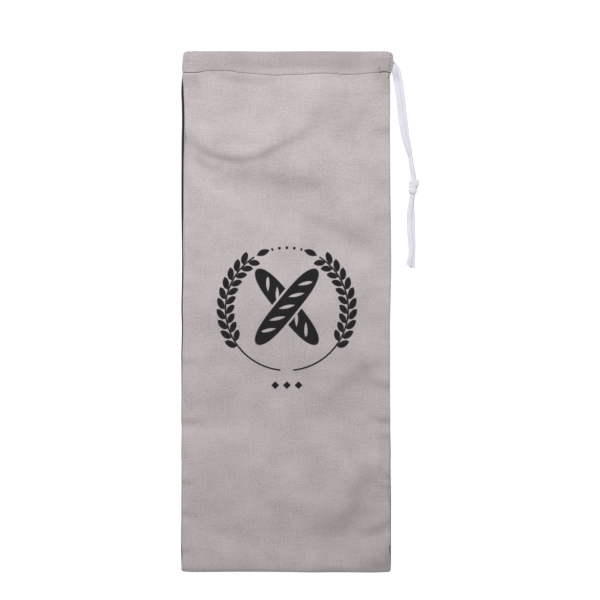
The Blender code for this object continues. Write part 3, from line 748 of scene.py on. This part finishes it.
def relief(right, up):
    """What the folds, the sewing and the cloth's own unevenness add to the front's height."""
    right, up = np.broadcast_arrays(np.asarray(right, float), np.asarray(up, float))
    height = creased(right, up)
    for across, along, start, high in WAVES:
        height += high * np.sin(2 * math.pi * (right * across + up * along) + start)
    for edge, seed in ((left_edge(up), 1.0), (right_edge(up), 2.4)):
        inward = abs(right - edge)
        height += rippled(up, SEAM_RIPPLES, seed) * np.exp(-inward / SEAM_RIPPLE_IN)
    slack = ease((SAGS_FROM - up) / SAGS_OVER) * (1 - SAG_UNEVEN + SAG_UNEVEN * np.sin(right / 31 + 0.8))
    height += rippled(up + right * SAG_LEAN + 5 * np.sin(right / 43), SAGS, 0.3) * slack
    above = up - sewn_line(right)
    gathers = np.exp(-((abs(above) / SEWN_RIPPLE_OFF) ** 1.5))
    height += rippled(right, SEWN_RIPPLES, 0.6) * gathers
    height -= GROOVE_DEEP * np.exp(-((above / GROOVE_HALF_WIDE) ** 2))
    height -= BELOW_DEEP * ease(-above / 6) * ease((above + BELOW_WIDE) / 30)
    height += HEM_STEP * np.tanh((above - 15) / 4) + BELOW_DEEP * (1 - ease((above + 30) / 30))
    height += CASING_RISE * np.clip(above / CASING_WIDE, 0, 1)
    hem_edge = ease((right - HEM_RIGHT) / 1.6) * ease((up - HEM_LOW) / 5) * ease((HEM_HIGH - up) / 8)
    return height + HEM_STEP * hem_edge


def front_top(right, up):
    """Height of the front panel's outer face."""
    left, far = left_edge(up) + INSET, right_edge(up) - INSET
    sideways = np.clip(abs(2 * (right - left) / (far - left) - 1), 0, 1)
    bulge = (1 - sideways**BULGE_SHOULDER) ** BULGE_RUN
    level = PANEL + 2 * edge_radius(up) + loft(up) * bulge + relief(right, up)
    return LEAST_TOP + BACK_TOUCH * np.logaddexp(0, (level - LEAST_TOP) / BACK_TOUCH)


# Edges of a panel: stretches of cloth, each (length, turn), from the flat middle to inside the seam


def lip_share(outer):
    return math.asin(LIP / (outer - LIP))


def rolled(side, up):
    """The outer radius of an edge's roll, how much of the back shows there, and the seam's angle on it."""
    outer = float(edge_radius(up)) + PANEL / 2
    shows = float(back_shows[side](up)) if side in back_shows else 0.0
    full = FOOT_TURN if side == "foot" else SIDE_TURN
    if shows <= 0:
        return outer, shows, full
    share = max(1 - shows / outer, 0)
    return outer, shows, math.asin(share) + (full - math.pi / 2) * share


def opened(closed, up, shy, *inner):
    """The right edge, whose seam gives way to the hemmed edge of the slit at the cord."""
    hemmed = [(INSET - shy - SLIT_RADIUS - HALF, 0), (SLIT_RADIUS * math.pi, math.pi), *inner, (SLIT_HEM, 0)]
    return closed + (np.array(hemmed) - closed) * float(ease((up - SLIT_FOOT) / (SLIT_HEAD - SLIT_FOOT)))


def front_edge(side, up):
    outer, shows, seam = rolled(side, up)
    if side == "left":
        seam *= LEAST_TURN + (1 - LEAST_TURN) * float(ease((MOUTH_UP - up) / CORNER_DEPTH))
    radius, lip = outer - HALF, LIP - HALF
    bend = max(seam - lip_share(outer), 0.0)
    back_off = min(((outer - LIP) * math.sin(seam) - LIP) / max(math.cos(seam), 0.2), 0.0)
    if seam > math.pi / 2 - 0.2:
        back_off = 0.0
    rounding = max(radius * bend, 0.4)
    tuck = math.pi / 2 + seam - bend
    flat = INSET - outer + back_off - max(shows - outer, 0.0) - (rounding - radius * bend)
    soft = FOOT_SOFT if side == "foot" else 0.0
    flat += radius * math.sin(soft)
    rounding -= radius * soft
    closed = np.array([(flat, soft), (rounding, bend - soft), (lip * tuck, tuck), (ALLOWANCE, 0)])
    return opened(closed, up, 0.0, HEM_STRAIGHT) if side == "right" else closed


def back_edge(side, up):
    outer, shows, seam = rolled(side, up)
    radius, lip = outer - HALF, LIP - HALF
    over = max(shows - outer, 0.0)
    short = lip_share(outer) if over == 0 else math.asin(max(LIP - over, 0.0) / (outer - LIP))
    bend, tuck = math.pi - seam - short, math.pi / 2 + short
    straight = max(over - LIP, 0.05)
    closed = [(INSET - outer, 0), (radius * bend, bend), (straight, 0), (lip * tuck, tuck), (ALLOWANCE, 0)]
    if side == "right":
        return opened(np.array(closed), up + BACK_LEADS, BACK_SHY, (0.3, 0), HEM_STRAIGHT)
    return np.array(closed)


def edge_points(stretches, counts):
    """How far out and how far off its plane the cloth is at each station along an edge."""
    out = off = angle = 0.0
    stations = []
    for (long, turn), count in zip(stretches, counts):
        for i in range(count):
            share = (i + 1) / count
            if abs(turn) < 1e-6:
                ahead, aside = long * share * math.cos(angle), long * share * math.sin(angle)
            else:
                radius, to = long / turn, angle + turn * share
                ahead = radius * (math.sin(to) - math.sin(angle))
                aside = radius * (math.cos(angle) - math.cos(to))
            stations.append((out + ahead, off + aside))
        out, off = stations[-1]
        angle += turn
    return np.array(stations)


# Grids of cloth

# How a panel is cut into a grid: stations along each edge's stretches, columns between the edges,
# length of a row, height of the mouth, and which way its inside faces
Cut = namedtuple("Cut", "edge counts core rows top inward")
FRONT = Cut(front_edge, counts=(2, 8, 5, 2), core=104, rows=2.7, top=MOUTH_UP, inward=-1)
BACK = Cut(back_edge, counts=(1, 8, 1, 5, 2), core=60, rows=4.5, top=MOUTH_UP - BACK_SHY, inward=1)
CASING_FROM = 33.3
CASING_ROW = 1.1
FOLD_ROWS, HEM_ROWS = 6, 18
DIP_OVER = 25.0  # below the mouth, where its edge's dips have faded
BACK_GROOVE, BACK_GROOVE_HALF_WIDE = 0.35, 1.6
SEAM_FADES = 0.8  # how much of the relief is gone at the seam
HEM_KEEPS = 6.0  # below the fold, where the layers still lie as they are folded


def back_top(right, up):
    """Height of the back panel's inner face: flat, but for the sewn line's groove underneath."""
    above = np.asarray(up, float) - sewn_line(right)
    return SHEET + BACK_GROOVE * np.exp(-((above / BACK_GROOVE_HALF_WIDE) ** 2))


def wall(cut, right, up):
    """Height of a panel's outer layer at mid cloth."""
    top = front_top if cut.inward < 0 else back_top
    return top(right, up) - HALF


def edge_wall(cut, start, up, share, off):
    """Height of a panel's edge at mid cloth: the folds and puckers fade on the way to the seam."""
    level = wall(cut, start, up)
    if cut.inward < 0:
        return level - relief(start, up) * share * SEAM_FADES - off
    return level + off


def across_of(cut, up):
    """Places across a panel's flat middle, and each side's name, start and way out."""
    left, right = float(left_edge(up)) + INSET, float(right_edge(up)) - INSET
    return np.linspace(left, right, cut.core + 1), (("left", left, -1), ("right", right, 1))


def body_row(cut, up, dip=0.0):
    """A row of the outer layer at a height up the bag."""
    core, sides = across_of(cut, up)
    edges = []
    for side, start, way in sides:
        out, off = edge_points(cut.edge(side, up), cut.counts).T
        share = np.arange(1, len(out) + 1) / len(out)
        height = edge_wall(cut, start, up, share, off)
        edges.append(np.stack([start + way * out, np.full(len(out), up), height], axis=1))
    middle = np.stack([core, np.full(core.shape, up), wall(cut, core, up)], axis=1)
    row = np.concatenate([edges[0][::-1], middle, edges[1]])
    row[:, 1] -= mouth_dip(row[:, 0]) * dip
    return row


def foot_row(cut, ring, low):
    """A row on the rolled bottom edge, with its round corners."""
    core, sides = across_of(cut, low)
    foot = cut.edge("foot", low)
    count = sum(cut.counts)
    edges = []
    for side, start, way in sides:
        own = cut.edge(side, low)
        points = []
        for beside in range(1, count + 1):
            further = max(beside, ring)
            nearer = math.pi / 4 * min(beside, ring) / further
            bearing = nearer if beside >= ring else math.pi / 2 - nearer
            mixed = own + (foot - own) * bearing / (math.pi / 2)
            out, off = edge_points(mixed, cut.counts)[further - 1]
            base = low + (float(foot_edge(start)) + INSET - low) * math.sin(bearing)
            height = float(edge_wall(cut, start, low, further / count, off))
            points.append((start + way * out * math.cos(bearing), base - out * math.sin(bearing), height))
        edges.append(np.array(points))
    out, off = edge_points(foot, cut.counts)[ring - 1]
    height = edge_wall(cut, core, low, ring / count, off)
    middle = np.stack([core, foot_edge(core) + INSET - out, height], axis=1)
    return np.concatenate([edges[0][::-1], middle, edges[1]])


def hem_row(cut, depth):
    """A row of the hem inside the casing."""
    up = cut.top - depth
    places = np.linspace(0, 1, cut.core + 1 + 2 * sum(cut.counts))
    left, right = float(left_edge(up)) + HEM_SHY, float(right_edge(up)) - BACK_SHY
    across = left + (right - left) * places
    sewn_depth = (cut.top - sewn_line(across)) / STITCH_DEPTH
    apart = layers_apart(np.where(depth > HEM_KEEPS, depth / sewn_depth, depth))
    height = wall(cut, across, up) + cut.inward * apart
    line = up - mouth_dip(across) * max(1 - depth / DIP_OVER, 0)
    return np.stack([across, line, height], axis=1)


def cloth_rows(cut):
    low = min(foot.low for foot in FOOT) + INSET
    high = MOUTH_UP - CASING_FROM
    rows = [foot_row(cut, ring, low) for ring in range(sum(cut.counts), 0, -1)]
    rows += [body_row(cut, up) for up in np.linspace(low, high, round((high - low) / cut.rows) + 1)]
    depths = np.linspace(CASING_FROM, FOLD_OUTER, round((CASING_FROM - FOLD_OUTER) / CASING_ROW) + 1)[1:]
    rows += [body_row(cut, cut.top - depth, max(1 - depth / DIP_OVER, 0)) for depth in depths]
    over, under = rows[-1], hem_row(cut, FOLD_OUTER)
    for i in range(1, FOLD_ROWS):
        angle = math.pi * i / FOLD_ROWS
        row = over + (under - over) * (1 - math.cos(angle)) / 2
        row[:, 1] += (FOLD_OUTER - HALF) * math.sin(angle)
        rows.append(row)
    rows += [hem_row(cut, depth) for depth in np.linspace(FOLD_OUTER, HEM_END, HEM_ROWS)]
    return np.stack(rows)


def cloth_map(grid):
    """Distances across and along the cloth, in metres, true in the middle of the panel."""
    across = np.linalg.norm(np.diff(grid, axis=1), axis=2)
    across = np.concatenate([np.zeros((len(grid), 1)), np.cumsum(across, axis=1)], axis=1)
    middle = grid.shape[1] // 2
    across += (grid[:, middle, 0] - across[:, middle])[:, None]
    along = run_along(grid[:, middle])
    at_zero = np.argmin(abs(grid[: len(grid) // 2 + 40, middle, 1]))
    along += grid[at_zero, middle, 1] - along[at_zero]
    return across * MM, np.repeat(along[:, None], grid.shape[1], axis=1) * MM


def meshed(name, body, *finishes):
    """An object of the mesh that was built."""
    mesh = bpy.data.meshes.new(name)
    body.to_mesh(mesh)
    body.free()
    for material in finishes:
        mesh.materials.append(material)
    return linked(name, mesh)


def skin(body, layer, points, place, round_rows=False, round_columns=True, flipped=False):
    """Faces between neighbouring points of a grid, each corner with its place on the cloth or tape."""
    rows, columns = len(points), len(points[0])
    corners = [[body.verts.new(point * MM) for point in row] for row in points]
    for i in range(rows if round_rows else rows - 1):
        for j in range(columns if round_columns else columns - 1):
            around = [(i, j), (i, j + 1), (i + 1, j + 1), (i + 1, j)]
            if flipped:
                around.reverse()
            face = body.faces.new([corners[r % rows][c % columns] for r, c in around])
            face.smooth = True
            for loop, (r, c) in zip(face.loops, around):
                loop[layer].uv = place(r, c % columns)
    return corners


def cloth_piece(name, cut, outside, inside):
    """A panel as one thin sheet, with its hem turned in and its edges rolled into the seams."""
    grid = cloth_rows(cut)
    across, along = cloth_map(grid)
    sheet = bmesh.new()
    layer = sheet.loops.layers.uv.new("cloth")
    skin(sheet, layer, grid, lambda r, c: (across[r, c], along[r, c]), False, False, cut.inward > 0)
    made = meshed(name, sheet, outside, inside)
    solid = made.modifiers.new("cloth_thickness", "SOLIDIFY")
    solid.thickness = SHEET * MM
    solid.offset = 0
    solid.material_offset = 1
    bpy.context.view_layer.objects.active = made
    made.select_set(True)
    bpy.ops.object.modifier_apply(modifier=solid.name)
    made.select_set(False)
    return made


# Drawcord: the pair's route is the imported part's own

TAPE_WIDE, TAPE_THICK = 6.8, 0.9
TAPE_ARCH = 0.35  # how far its edges hang
TAPE_SQUARE = 0.7, 0.9  # the less, the squarer its section, across and through
TUNNEL_THICK = PANEL + CASING_ROOM
ON_SURFACE = 0.05
PAIR_GAP = 0.06
PAIR_COLUMNS = "right up tilt gathered aside lift"
# Stops along the pair: its middle, its tilt in degrees, the tapes' share of their width,
# how far each lies to its own side, and how high the pair is lifted
STRANDS = table(
    PAIR_COLUMNS,
    (126, 316.6, 0, 1, 0.2, 0), (131, 317.8, 0, 1, 0.6, 0), (134.8, 318.2, 0, 1, 1.2, 0),
    (137.4, 316.8, 0, 1, 1.8, 0), (139.2, 314.1, 0, 1, 2.2, 0), (140.8, 309.7, 0, 1, 2.35, 0),
    (142.2, 303.6, 0, 1, 2.4, 0), (143.5, 297, 0, 1, 2.4, 0), (145.2, 285, 0, 1, 2.4, 0),
    (147.3, 267.5, 0, 1, 2.35, 0), (149.4, 248.5, 0, 1, 2.4, 0), (150.5, 240.5, 3, 1, 2.35, 0),
    (152.3, 228.5, 10, 1, 2, 0), (154.9, 216, 18, 1, 1.6, 0.2), (156.9, 207.5, 22, 0.98, 1.1, 0.7),
    (159, 198, 26, 0.86, 0.5, 1.3), (160.2, 189.2, 26, 0.9, 0.55, 2), (161.5, 181.5, 20, 0.94, 0.6, 2.7),
    (162.7, 174, 12, 0.9, 0.35, 3.5), (163, 170, 8, 0.9, 0.3, 3.9), (163.3, 166.5, 4, 0.88, 0.25, 4.1),
    (163.3, 163, 4, 0.84, 0.2, 3.3),
)
TAILS = table(
    PAIR_COLUMNS,
    (162, 153.5, 4, 0.9, 0.3, 3.2), (161.6, 149.6, 3, 0.92, 0.35, 3), (160.9, 146, 3, 0.92, 0.2, 2.5),
    (160.3, 139.5, 3, 0.96, 0.5, 1.6), (159.9, 133, 3, 1, 1.1, 0.8), (159.6, 125, 2, 1, 1.8, 0.2),
    (159.9, 116.5, 0, 1, 1.9, 0), (160.1, 104, 0, 1, 1.85, 0), (160.5, 95, 0, 1, 1.65, 0),
    (161.1, 87, 0, 1, 1.3, 0), (161.2, 80.5, 0, 1, 1.05, 0), (160.9, 75.5, 0, 1, 1.1, 0),
    (160.3, 69, 0, 1, 1.45, 0), (159.7, 64.5, 0, 1, 1.85, 0), (159.6, 60.5, 0, 1, 2.15, 0),
    (159.8, 56.8, 0, 1, 2.25, 0),
)
DROP_FROM, DROP_OVER = 13.0, 22.0
TAPE_STEP = 0.8
TAPE_SIDES = 20
# Each tape: its node, its route, its side of the pair, whether it leaves the casing, how low it stops,
# the slant of its cut end and its length in metres
Run = namedtuple("Run", "node rows side leaves stops slant long")
RUNS = {
    "strand_over": Run("cord_strand_over", STRANDS, -1, True, 0.0, 0.0, 0.163),
    "strand_under": Run("cord_strand_under", STRANDS, 1, True, 0.0, 0.0, 0.163),
    "tail_over": Run("cord_tail_over", TAILS, -1, False, 58.7, 4.4, 0.094),
    "tail_under": Run("cord_tail_under", TAILS, 1, False, 56.6, 0.8, 0.097),
}
SLANT_OVER = 7.0
CORD_STOPS, TURN_STOPS = 90, 15  # along each panel's casing, and round its left end
CORD_CLEAR = 0.3


def squared(count, powers):
    """Points round a circle pressed towards a square, as their shares across and through it."""
    angles = 2 * math.pi * np.arange(count) / count
    parts = zip((np.cos(angles), np.sin(angles)), powers)
    return [np.sign(part) * abs(part) ** power for part, power in parts]


def tunnel_height(side, right):
    """Middle of the casing's tunnel where the cord runs: -1 is the front's, 1 the back's."""
    if side > 0:
        return PANEL / 2 + TUNNEL_THICK / 2
    up = MOUTH_UP - CORD_DEPTH
    right = np.minimum(right, right_edge(up) - INSET)
    plain = front_top(right, up) - relief(right, up)
    return plain - PANEL / 2 - TUNNEL_THICK / 2


def swept(places, side, face, sizes=1.0):
    """Rings of points round a flat cord, and each point's place across and along it."""
    wide, thick = squared(TAPE_SIDES, TAPE_SQUARE)
    level = side[:, None] * wide[:, None] * TAPE_WIDE / 2
    face = face[:, None] * (thick * TAPE_THICK / 2 - TAPE_ARCH * abs(wide) ** 3)[:, None]
    return places[:, None] + (level + face) * sizes, wide / 2 + 0.5, run_along(places)


def turned_tape(places, tilts, gathers):
    """A flat cord along its places, tilted and gathered."""
    ways = unit(np.gradient(places, axis=0))
    level = unit(np.cross(ways, (0, 0, 1.0)))
    above = np.cross(level, ways)
    cos, sin = np.cos(tilts)[:, None], np.sin(tilts)[:, None]
    return swept(places, level * cos + above * sin, above * cos - level * sin, gathers[:, None, None])


def tube(name, rings, across, run, cord_finish, closed=False):
    """A mesh through rings of points, capped at its ends or closed on itself."""
    body = bmesh.new()
    layer = body.loops.layers.uv.new("tape")
    corners = skin(body, layer, rings, lambda r, c: (across[c], run[r] * MM), closed)
    if not closed:
        for ring in (corners[0], corners[-1]):
            for loop in body.faces.new(ring).loops:
                loop[layer].uv = (0.5, 0)
    bmesh.ops.recalc_face_normals(body, faces=body.faces)
    return meshed(name, body, cord_finish)


def pair_places(rows, side, from_casing):
    """Where one tape of the pair lies, how it is turned and how far it is gathered."""
    stops, values = smooth_line(rows, TAPE_STEP)
    right, up, tilt, gathered, aside_most, lift = values.T
    tilt = np.radians(tilt)
    ways = unit(np.stack([np.gradient(right), np.gradient(up)], axis=1))
    stack = TAPE_THICK + PAIR_GAP
    aside, above = side * aside_most, -side * stack / 2
    sideways = aside * np.cos(tilt) + above * np.sin(tilt)
    upward = above * np.cos(tilt) - aside * np.sin(tilt)
    low = aside_most * np.sin(tilt) + stack / 2 * np.cos(tilt)
    half_tape = gathered * (TAPE_WIDE * np.sin(tilt) + TAPE_THICK * np.cos(tilt)) / 2
    height = ON_SURFACE + TAPE_ARCH + low + half_tape + upward + lift
    if from_casing:
        tunnel = tunnel_height(side, right)
        height += (tunnel - height) * (1 - ease((stops - DROP_FROM) / DROP_OVER))
    places = np.stack([right - ways[:, 1] * sideways, up + ways[:, 0] * sideways, height], axis=1)
    return places, tilt, gathered


def tape_piece(name, tape, cord_finish):
    places, tilts, gathers = pair_places(tape.rows, tape.side, tape.leaves)
    kept = places[:, 1] > tape.stops
    places, tilts, gathers = places[kept], tilts[kept], gathers[kept]
    rings, across, run = turned_tape(places, -tilts, gathers)
    way = unit(places[-1] - places[-4])
    near_end = np.clip(1 - (run[-1] - run) / SLANT_OVER, 0, 1)[:, None] * (0.5 - across)[None, :]
    rings += near_end[..., None] * tape.slant * way
    return tube(name, rings, across, run, cord_finish), places


def cord_in_casing(cord_finish):
    """The cord's hidden run: along the front's tunnel, round the left edge and back along the back's."""
    up = MOUTH_UP - CORD_DEPTH
    middle = float(left_edge(up) + edge_radius(up)) + PANEL / 2 + CORD_CLEAR
    stops = np.linspace(STRANDS[0].right - CORD_CLEAR, middle, CORD_STOPS)
    upper = tunnel_height(-1, stops)
    turn = (upper[-1] - tunnel_height(1, middle)) / 2
    places = [(stop, up, level) for stop, level in zip(stops, upper)]
    for angle in np.linspace(0, math.pi, TURN_STOPS)[1:-1]:
        level = tunnel_height(1, middle) + turn * (1 + math.cos(angle))
        places.append((middle - turn * math.sin(angle), up, level))
    places += [(stop, up, tunnel_height(1, stop)) for stop in stops[::-1]]
    places = np.array(places)
    side = np.array([[0, 1.0, 0]])
    face = np.cross(unit(np.gradient(places, axis=0)), side)
    return tube("drawcord_run", *swept(places, side, face), cord_finish)


# Knot: the pair wound round itself

# The three wraps: middle, lean in degrees, half sizes of the loop, and the band's own sizes
WRAPS = table(
    "right up height lean half_across half_high wide thick",
    (163.8, 165.4, 3.35, 16, 5.6, 2.25, 13.2, 2.1), (162.7, 161, 3.3, 12, 4.6, 2.15, 8.4, 2),
    (162.1, 155.6, 3.3, 4, 4.8, 2.2, 10, 2),
)
BAND_CURL = 0.8
WRAP_STEPS, WRAP_SIDES = 56, 18
BAND_SQUARE, LOOP_SQUARE = (0.5, 0.8), (0.8, 0.65)
PINCH, PINCH_FALLS = 0.5, 3.75  # where a wrap turns round the side
HEART, HEART_SIZE = Vector((162.8, 160.4, 3.3)), Vector((5.4, 6.4, 3.1))


def knot(cord_finish):
    parts = []
    wide, thick = squared(WRAP_SIDES, BAND_SQUARE)
    level, rise = squared(WRAP_STEPS, LOOP_SQUARE)
    pinch = 1 - PINCH * abs(level) ** PINCH_FALLS
    for index, wrap in enumerate(WRAPS):
        cos, sin = math.cos(math.radians(wrap.lean)), math.sin(math.radians(wrap.lean))
        across_way, wide_way = np.array([cos, sin, 0]), np.array([-sin, cos, 0])
        centres = np.array([wrap.right, wrap.up, wrap.height]) + rise[:, None] * (0, 0, wrap.half_high)
        centres += level[:, None] * across_way * wrap.half_across
        outward = unit(np.cross(wide_way, np.roll(centres, -1, axis=0) - np.roll(centres, 1, axis=0)))
        band = (thick * wrap.thick / 2 - BAND_CURL * wide**6)[:, None]
        rings = centres[:, None] + wide_way * (wide * wrap.wide / 2)[:, None] * pinch[:, None, None]
        rings += outward[:, None] * band
        rings[..., 2] = np.maximum(rings[..., 2], ON_SURFACE)
        run = np.linspace(0, math.pi * (wrap.half_across + wrap.half_high), WRAP_STEPS + 1)
        parts.append(tube(f"wrap_{index}", rings, wide / 2 + 0.5, run, cord_finish, closed=True))
    heart = ball(24, 16, HEART_SIZE * MM, HEART * MM)
    heart.data.uv_layers[0].name = "tape"
    heart.data.materials.append(cord_finish)
    for part in (heart, *parts):
        part.select_set(True)
    bpy.context.view_layer.objects.active = heart
    bpy.ops.object.join()
    heart.name = "knot"
    bpy.ops.object.select_all(action="DESELECT")
    return heart


# Sewing

STITCH_LONG, STITCH_PITCH, STITCH_THICK = 2.6, 3.0, 0.8
STITCH_SHARE = 0.35  # of the pitch, from a stitch's middle to where each end's height is read

# Casing line, and the stretches near its ends that are sewn over again, a little lower at the right
CASING_SEAMS = table(
    "start end readings lower pitch sunk stretch thick",
    (-134.6, 133.6, 200, 0, STITCH_PITCH, 0.02, 1, 1), (-134.4, -108, 30, 0, 2.2, 0, 1.1, 1.1),
    (118.6, 133.4, 20, 0.5, 2.2, 0, 1.1, 1.5),
)

# Small seams at the casing's open end: down the hem, and beside the line's end
Seam = namedtuple("Seam", "points pitch stretch thick")
HEM_SEAMS = [
    Seam([(133.6, 332), (133, 325), (132.1, 317), (131.2, 309.5)], 4.4, 1.15, 1),
    Seam([(119.2, 316), (119.5, 309.8)], 3.1, 1, 0.9),
]
BACK_SEAM_FROM, BACK_SEAM_TO = -130.6, 130.6
TACK_UPS, TACK_RIGHT, TACK_WANDER = (304.9, 304.2, 301.5, 300.8), 131.2, 0.4

Stitch = namedtuple("Stitch", "place way stretch thick")


def sewing(name, stitches, thread_finish):
    """Stitches of thread, drawn into the cloth at both ends, each along its own way."""
    shape = ball(8, 7, (STITCH_LONG / 2, STITCH_THICK / 2, STITCH_THICK / 2))
    joined_up = bmesh.new()
    for stitch in stitches:
        turn = Vector(stitch.way).to_track_quat("X", "Z").to_matrix().to_4x4()
        size = Matrix.Diagonal((stitch.stretch, stitch.thick, stitch.thick, 1))
        copied = shape.data.copy()
        copied.transform(Matrix.Scale(MM, 4) @ Matrix.Translation(stitch.place) @ turn @ size)
        joined_up.from_mesh(copied)
        bpy.data.meshes.remove(copied)
    bpy.data.objects.remove(shape)
    made = meshed(name, joined_up, thread_finish)
    made.data.shade_smooth()
    return made


def ground(piece):
    """A way to find the cloth under a point, from above or from below."""
    corners = [vertex.co[:] for vertex in piece.data.vertices]
    tree = BVHTree.FromPolygons(corners, [face.vertices[:] for face in piece.data.polygons])

    def find(right, up, from_above=True):
        start = 0.05 if from_above else -0.05
        hit = tree.ray_cast(Vector((right * MM, up * MM, start)), Vector((0, 0, -start)))
        return hit[0].z / MM

    return find


def sewn_along(line, find, pitch, sunk, stretch=1.0, thick=1.0, from_above=True):
    """Stitches along a line of (right, up) points."""
    line = np.array(line, float)
    run = run_along(line)
    stitches = []
    for middle in np.arange(pitch / 2, run[-1], pitch):
        ends = []
        for stop in (middle - pitch * STITCH_SHARE, middle + pitch * STITCH_SHARE):
            right, up = (np.interp(stop, run, places) for places in line.T)
            ends.append(Vector((right, up, find(right, up, from_above))))
        place = (ends[0] + ends[1]) / 2
        place.z -= sunk if from_above else -sunk
        stitches.append(Stitch(place, ends[1] - ends[0], stretch, thick))
    return stitches


def front_sewing(find, thread_finish):
    stitches = []
    for seam in CASING_SEAMS:
        rights = np.linspace(seam.start, seam.end, seam.readings)
        line = [(right, sewn_line(right) - seam.lower) for right in rights]
        stitches += sewn_along(line, find, seam.pitch, seam.sunk, seam.stretch, seam.thick)
    for seam in HEM_SEAMS:
        stitches += sewn_along(seam.points, find, seam.pitch, 0.0, seam.stretch, seam.thick)
    return sewing("front_sewing", stitches, thread_finish)


def bar_tack(find, thread_finish):
    """Close stitches across the end of the side seam, under the casing."""
    stitches = []
    for i, up in enumerate(TACK_UPS):
        right = TACK_RIGHT + TACK_WANDER * math.sin(i * 2.1)
        way = (1.0, 0.6 if i % 2 else -0.5, -0.25)
        stitches.append(Stitch(Vector((right, up, find(right, up) + 0.12)), way, 0.75, 1.05))
    return sewing("bar_tack", stitches, thread_finish)


def back_sewing(find, thread_finish):
    line = [(right, sewn_line(right)) for right in np.linspace(BACK_SEAM_FROM, BACK_SEAM_TO, 200)]
    stitches = sewn_along(line, find, STITCH_PITCH, 0.05, thick=0.8, from_above=False)
    return sewing("back_sewing", stitches, thread_finish)


# Frayed ends of the tapes

FIBRES = 46
FIBRE_LONG, FIBRE_THICK = (0.9, 2.3), (0.05, 0.1)
FRAY_FAN = 0.9  # how far the outer fibres lean out


def frayed_end(name, places, slant, cord_finish, seed):
    """Loose fibres where a tape is cut."""
    end, way = places[-1], unit(places[-1] - places[-4])
    side, up_way = np.array([-way[1], way[0], 0]), np.array([0, 0, 1.0])
    random = np.random.default_rng(seed)
    turns = 2 * math.pi * np.arange(3)[:, None] / 3
    body = bmesh.new()
    layer = body.loops.layers.uv.new("tape")
    for _ in range(FIBRES):
        across, high = random.uniform(-0.5, 0.5), random.uniform(-0.4, 0.4)
        start = end + side * across * TAPE_WIDE * 0.95 + up_way * high * TAPE_THICK * (1 - abs(across))
        start += way * (across * slant - 0.4)
        spread = side * (across * FRAY_FAN + random.normal(0, 0.28)) + up_way * random.normal(0, 0.16)
        heading = unit(way + spread)
        long, thick = random.uniform(*FIBRE_LONG), random.uniform(*FIBRE_THICK)
        bend = side * random.normal(0, 0.35) + up_way * random.normal(0, 0.12)
        rings = []
        for share in (0.0, 0.5, 1.0):
            centre = start + heading * long * share + bend * share * share
            centre[2] = max(centre[2], ON_SURFACE + thick)
            rings.append(centre + (side * np.cos(turns) + up_way * np.sin(turns)) * thick * (1 - 0.7 * share))
        corners = skin(body, layer, rings, lambda r, c: (0, 0))
        body.faces.new(corners[0])
        body.faces.new(corners[-1])
    bmesh.ops.recalc_face_normals(body, faces=body.faces)
    made = meshed(name, body, cord_finish)
    made.data.shade_smooth()
    return made


# The whole bag

# Each cotton's lighter and darker shade and that of its flecks
TAUPE = Shade(200, 191, 192), Shade(170, 161, 162), Shade(96, 86, 88)
NEARLY_BLACK = Shade(32, 30, 37), Shade(21, 19, 25), Shade(54, 50, 60)


def fitted(piece, slot, *nodes):
    """The piece goes with the bag's body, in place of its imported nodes."""
    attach(piece, "root")
    if nodes:
        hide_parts(*nodes)


def main():
    camera()
    lights()
    floor()
    # The one braid in two copies: the tails' painted lighter than that of the strands, knot and hidden run,
    # which also has painted shade on the strands
    tape_finish = braid("braided_tape", Shade(233, 234, 243), Shade(201, 201, 216), shade_share=0.08)
    lighter_tails_finish = braid("tail_tape_painted_lighter", Shade(241, 242, 251), Shade(209, 209, 224))
    ends_finish = braid("tape_ends", Shade(224, 224, 233), Shade(196, 196, 210))
    finishes = {"strand": tape_finish, "tail": lighter_tails_finish}
    pieces = {name: tape_piece(name, run, finishes[name.split("_")[0]]) for name, run in RUNS.items()}
    for name, (piece, _) in pieces.items():
        fitted(piece, "cord_cotton", RUNS[name].node)
    tied = knot(tape_finish)
    fitted(tied, "cord_cotton", "cord_knot")
    for name in ("strand_over", "strand_under"):
        piece, places = pieces[name]
    for index, name in enumerate(("tail_over", "tail_under")):
        piece, places = pieces[name]
        fray = frayed_end(f"{name}_fray", places, RUNS[name].slant, ends_finish, 5 + index)
        fitted(fray, "cord_cotton")
    fitted(cord_in_casing(tape_finish), "cord_cotton", "drawcord_in_casing")

    printed = cotton("printed_cotton", *TAUPE, True)
    plain = cotton("plain_cotton", *TAUPE, False)
    dark = cotton("dark_cotton", *NEARLY_BLACK, False)
    front = cloth_piece("front_cloth", FRONT, printed, plain)
    back = cloth_piece("back_cloth", BACK, dark, dark)
    sewing_thread = thread("sewing_thread", Shade(30, 27, 29), Shade(54, 50, 52))
    back_thread = thread("back_thread", Shade(26, 24, 29), Shade(48, 45, 52))
    find = ground(front)
    seams = front_sewing(find, sewing_thread)
    tack = bar_tack(find, sewing_thread)
    under = back_sewing(ground(back), back_thread)
    fitted(front, "front_cotton", "front_panel")
    fitted(back, "back_cotton", "back_panel")
    for piece, slot in ((seams, "front_cotton"), (tack, "front_cotton"), (under, "back_cotton")):
        fitted(piece, slot)


main()
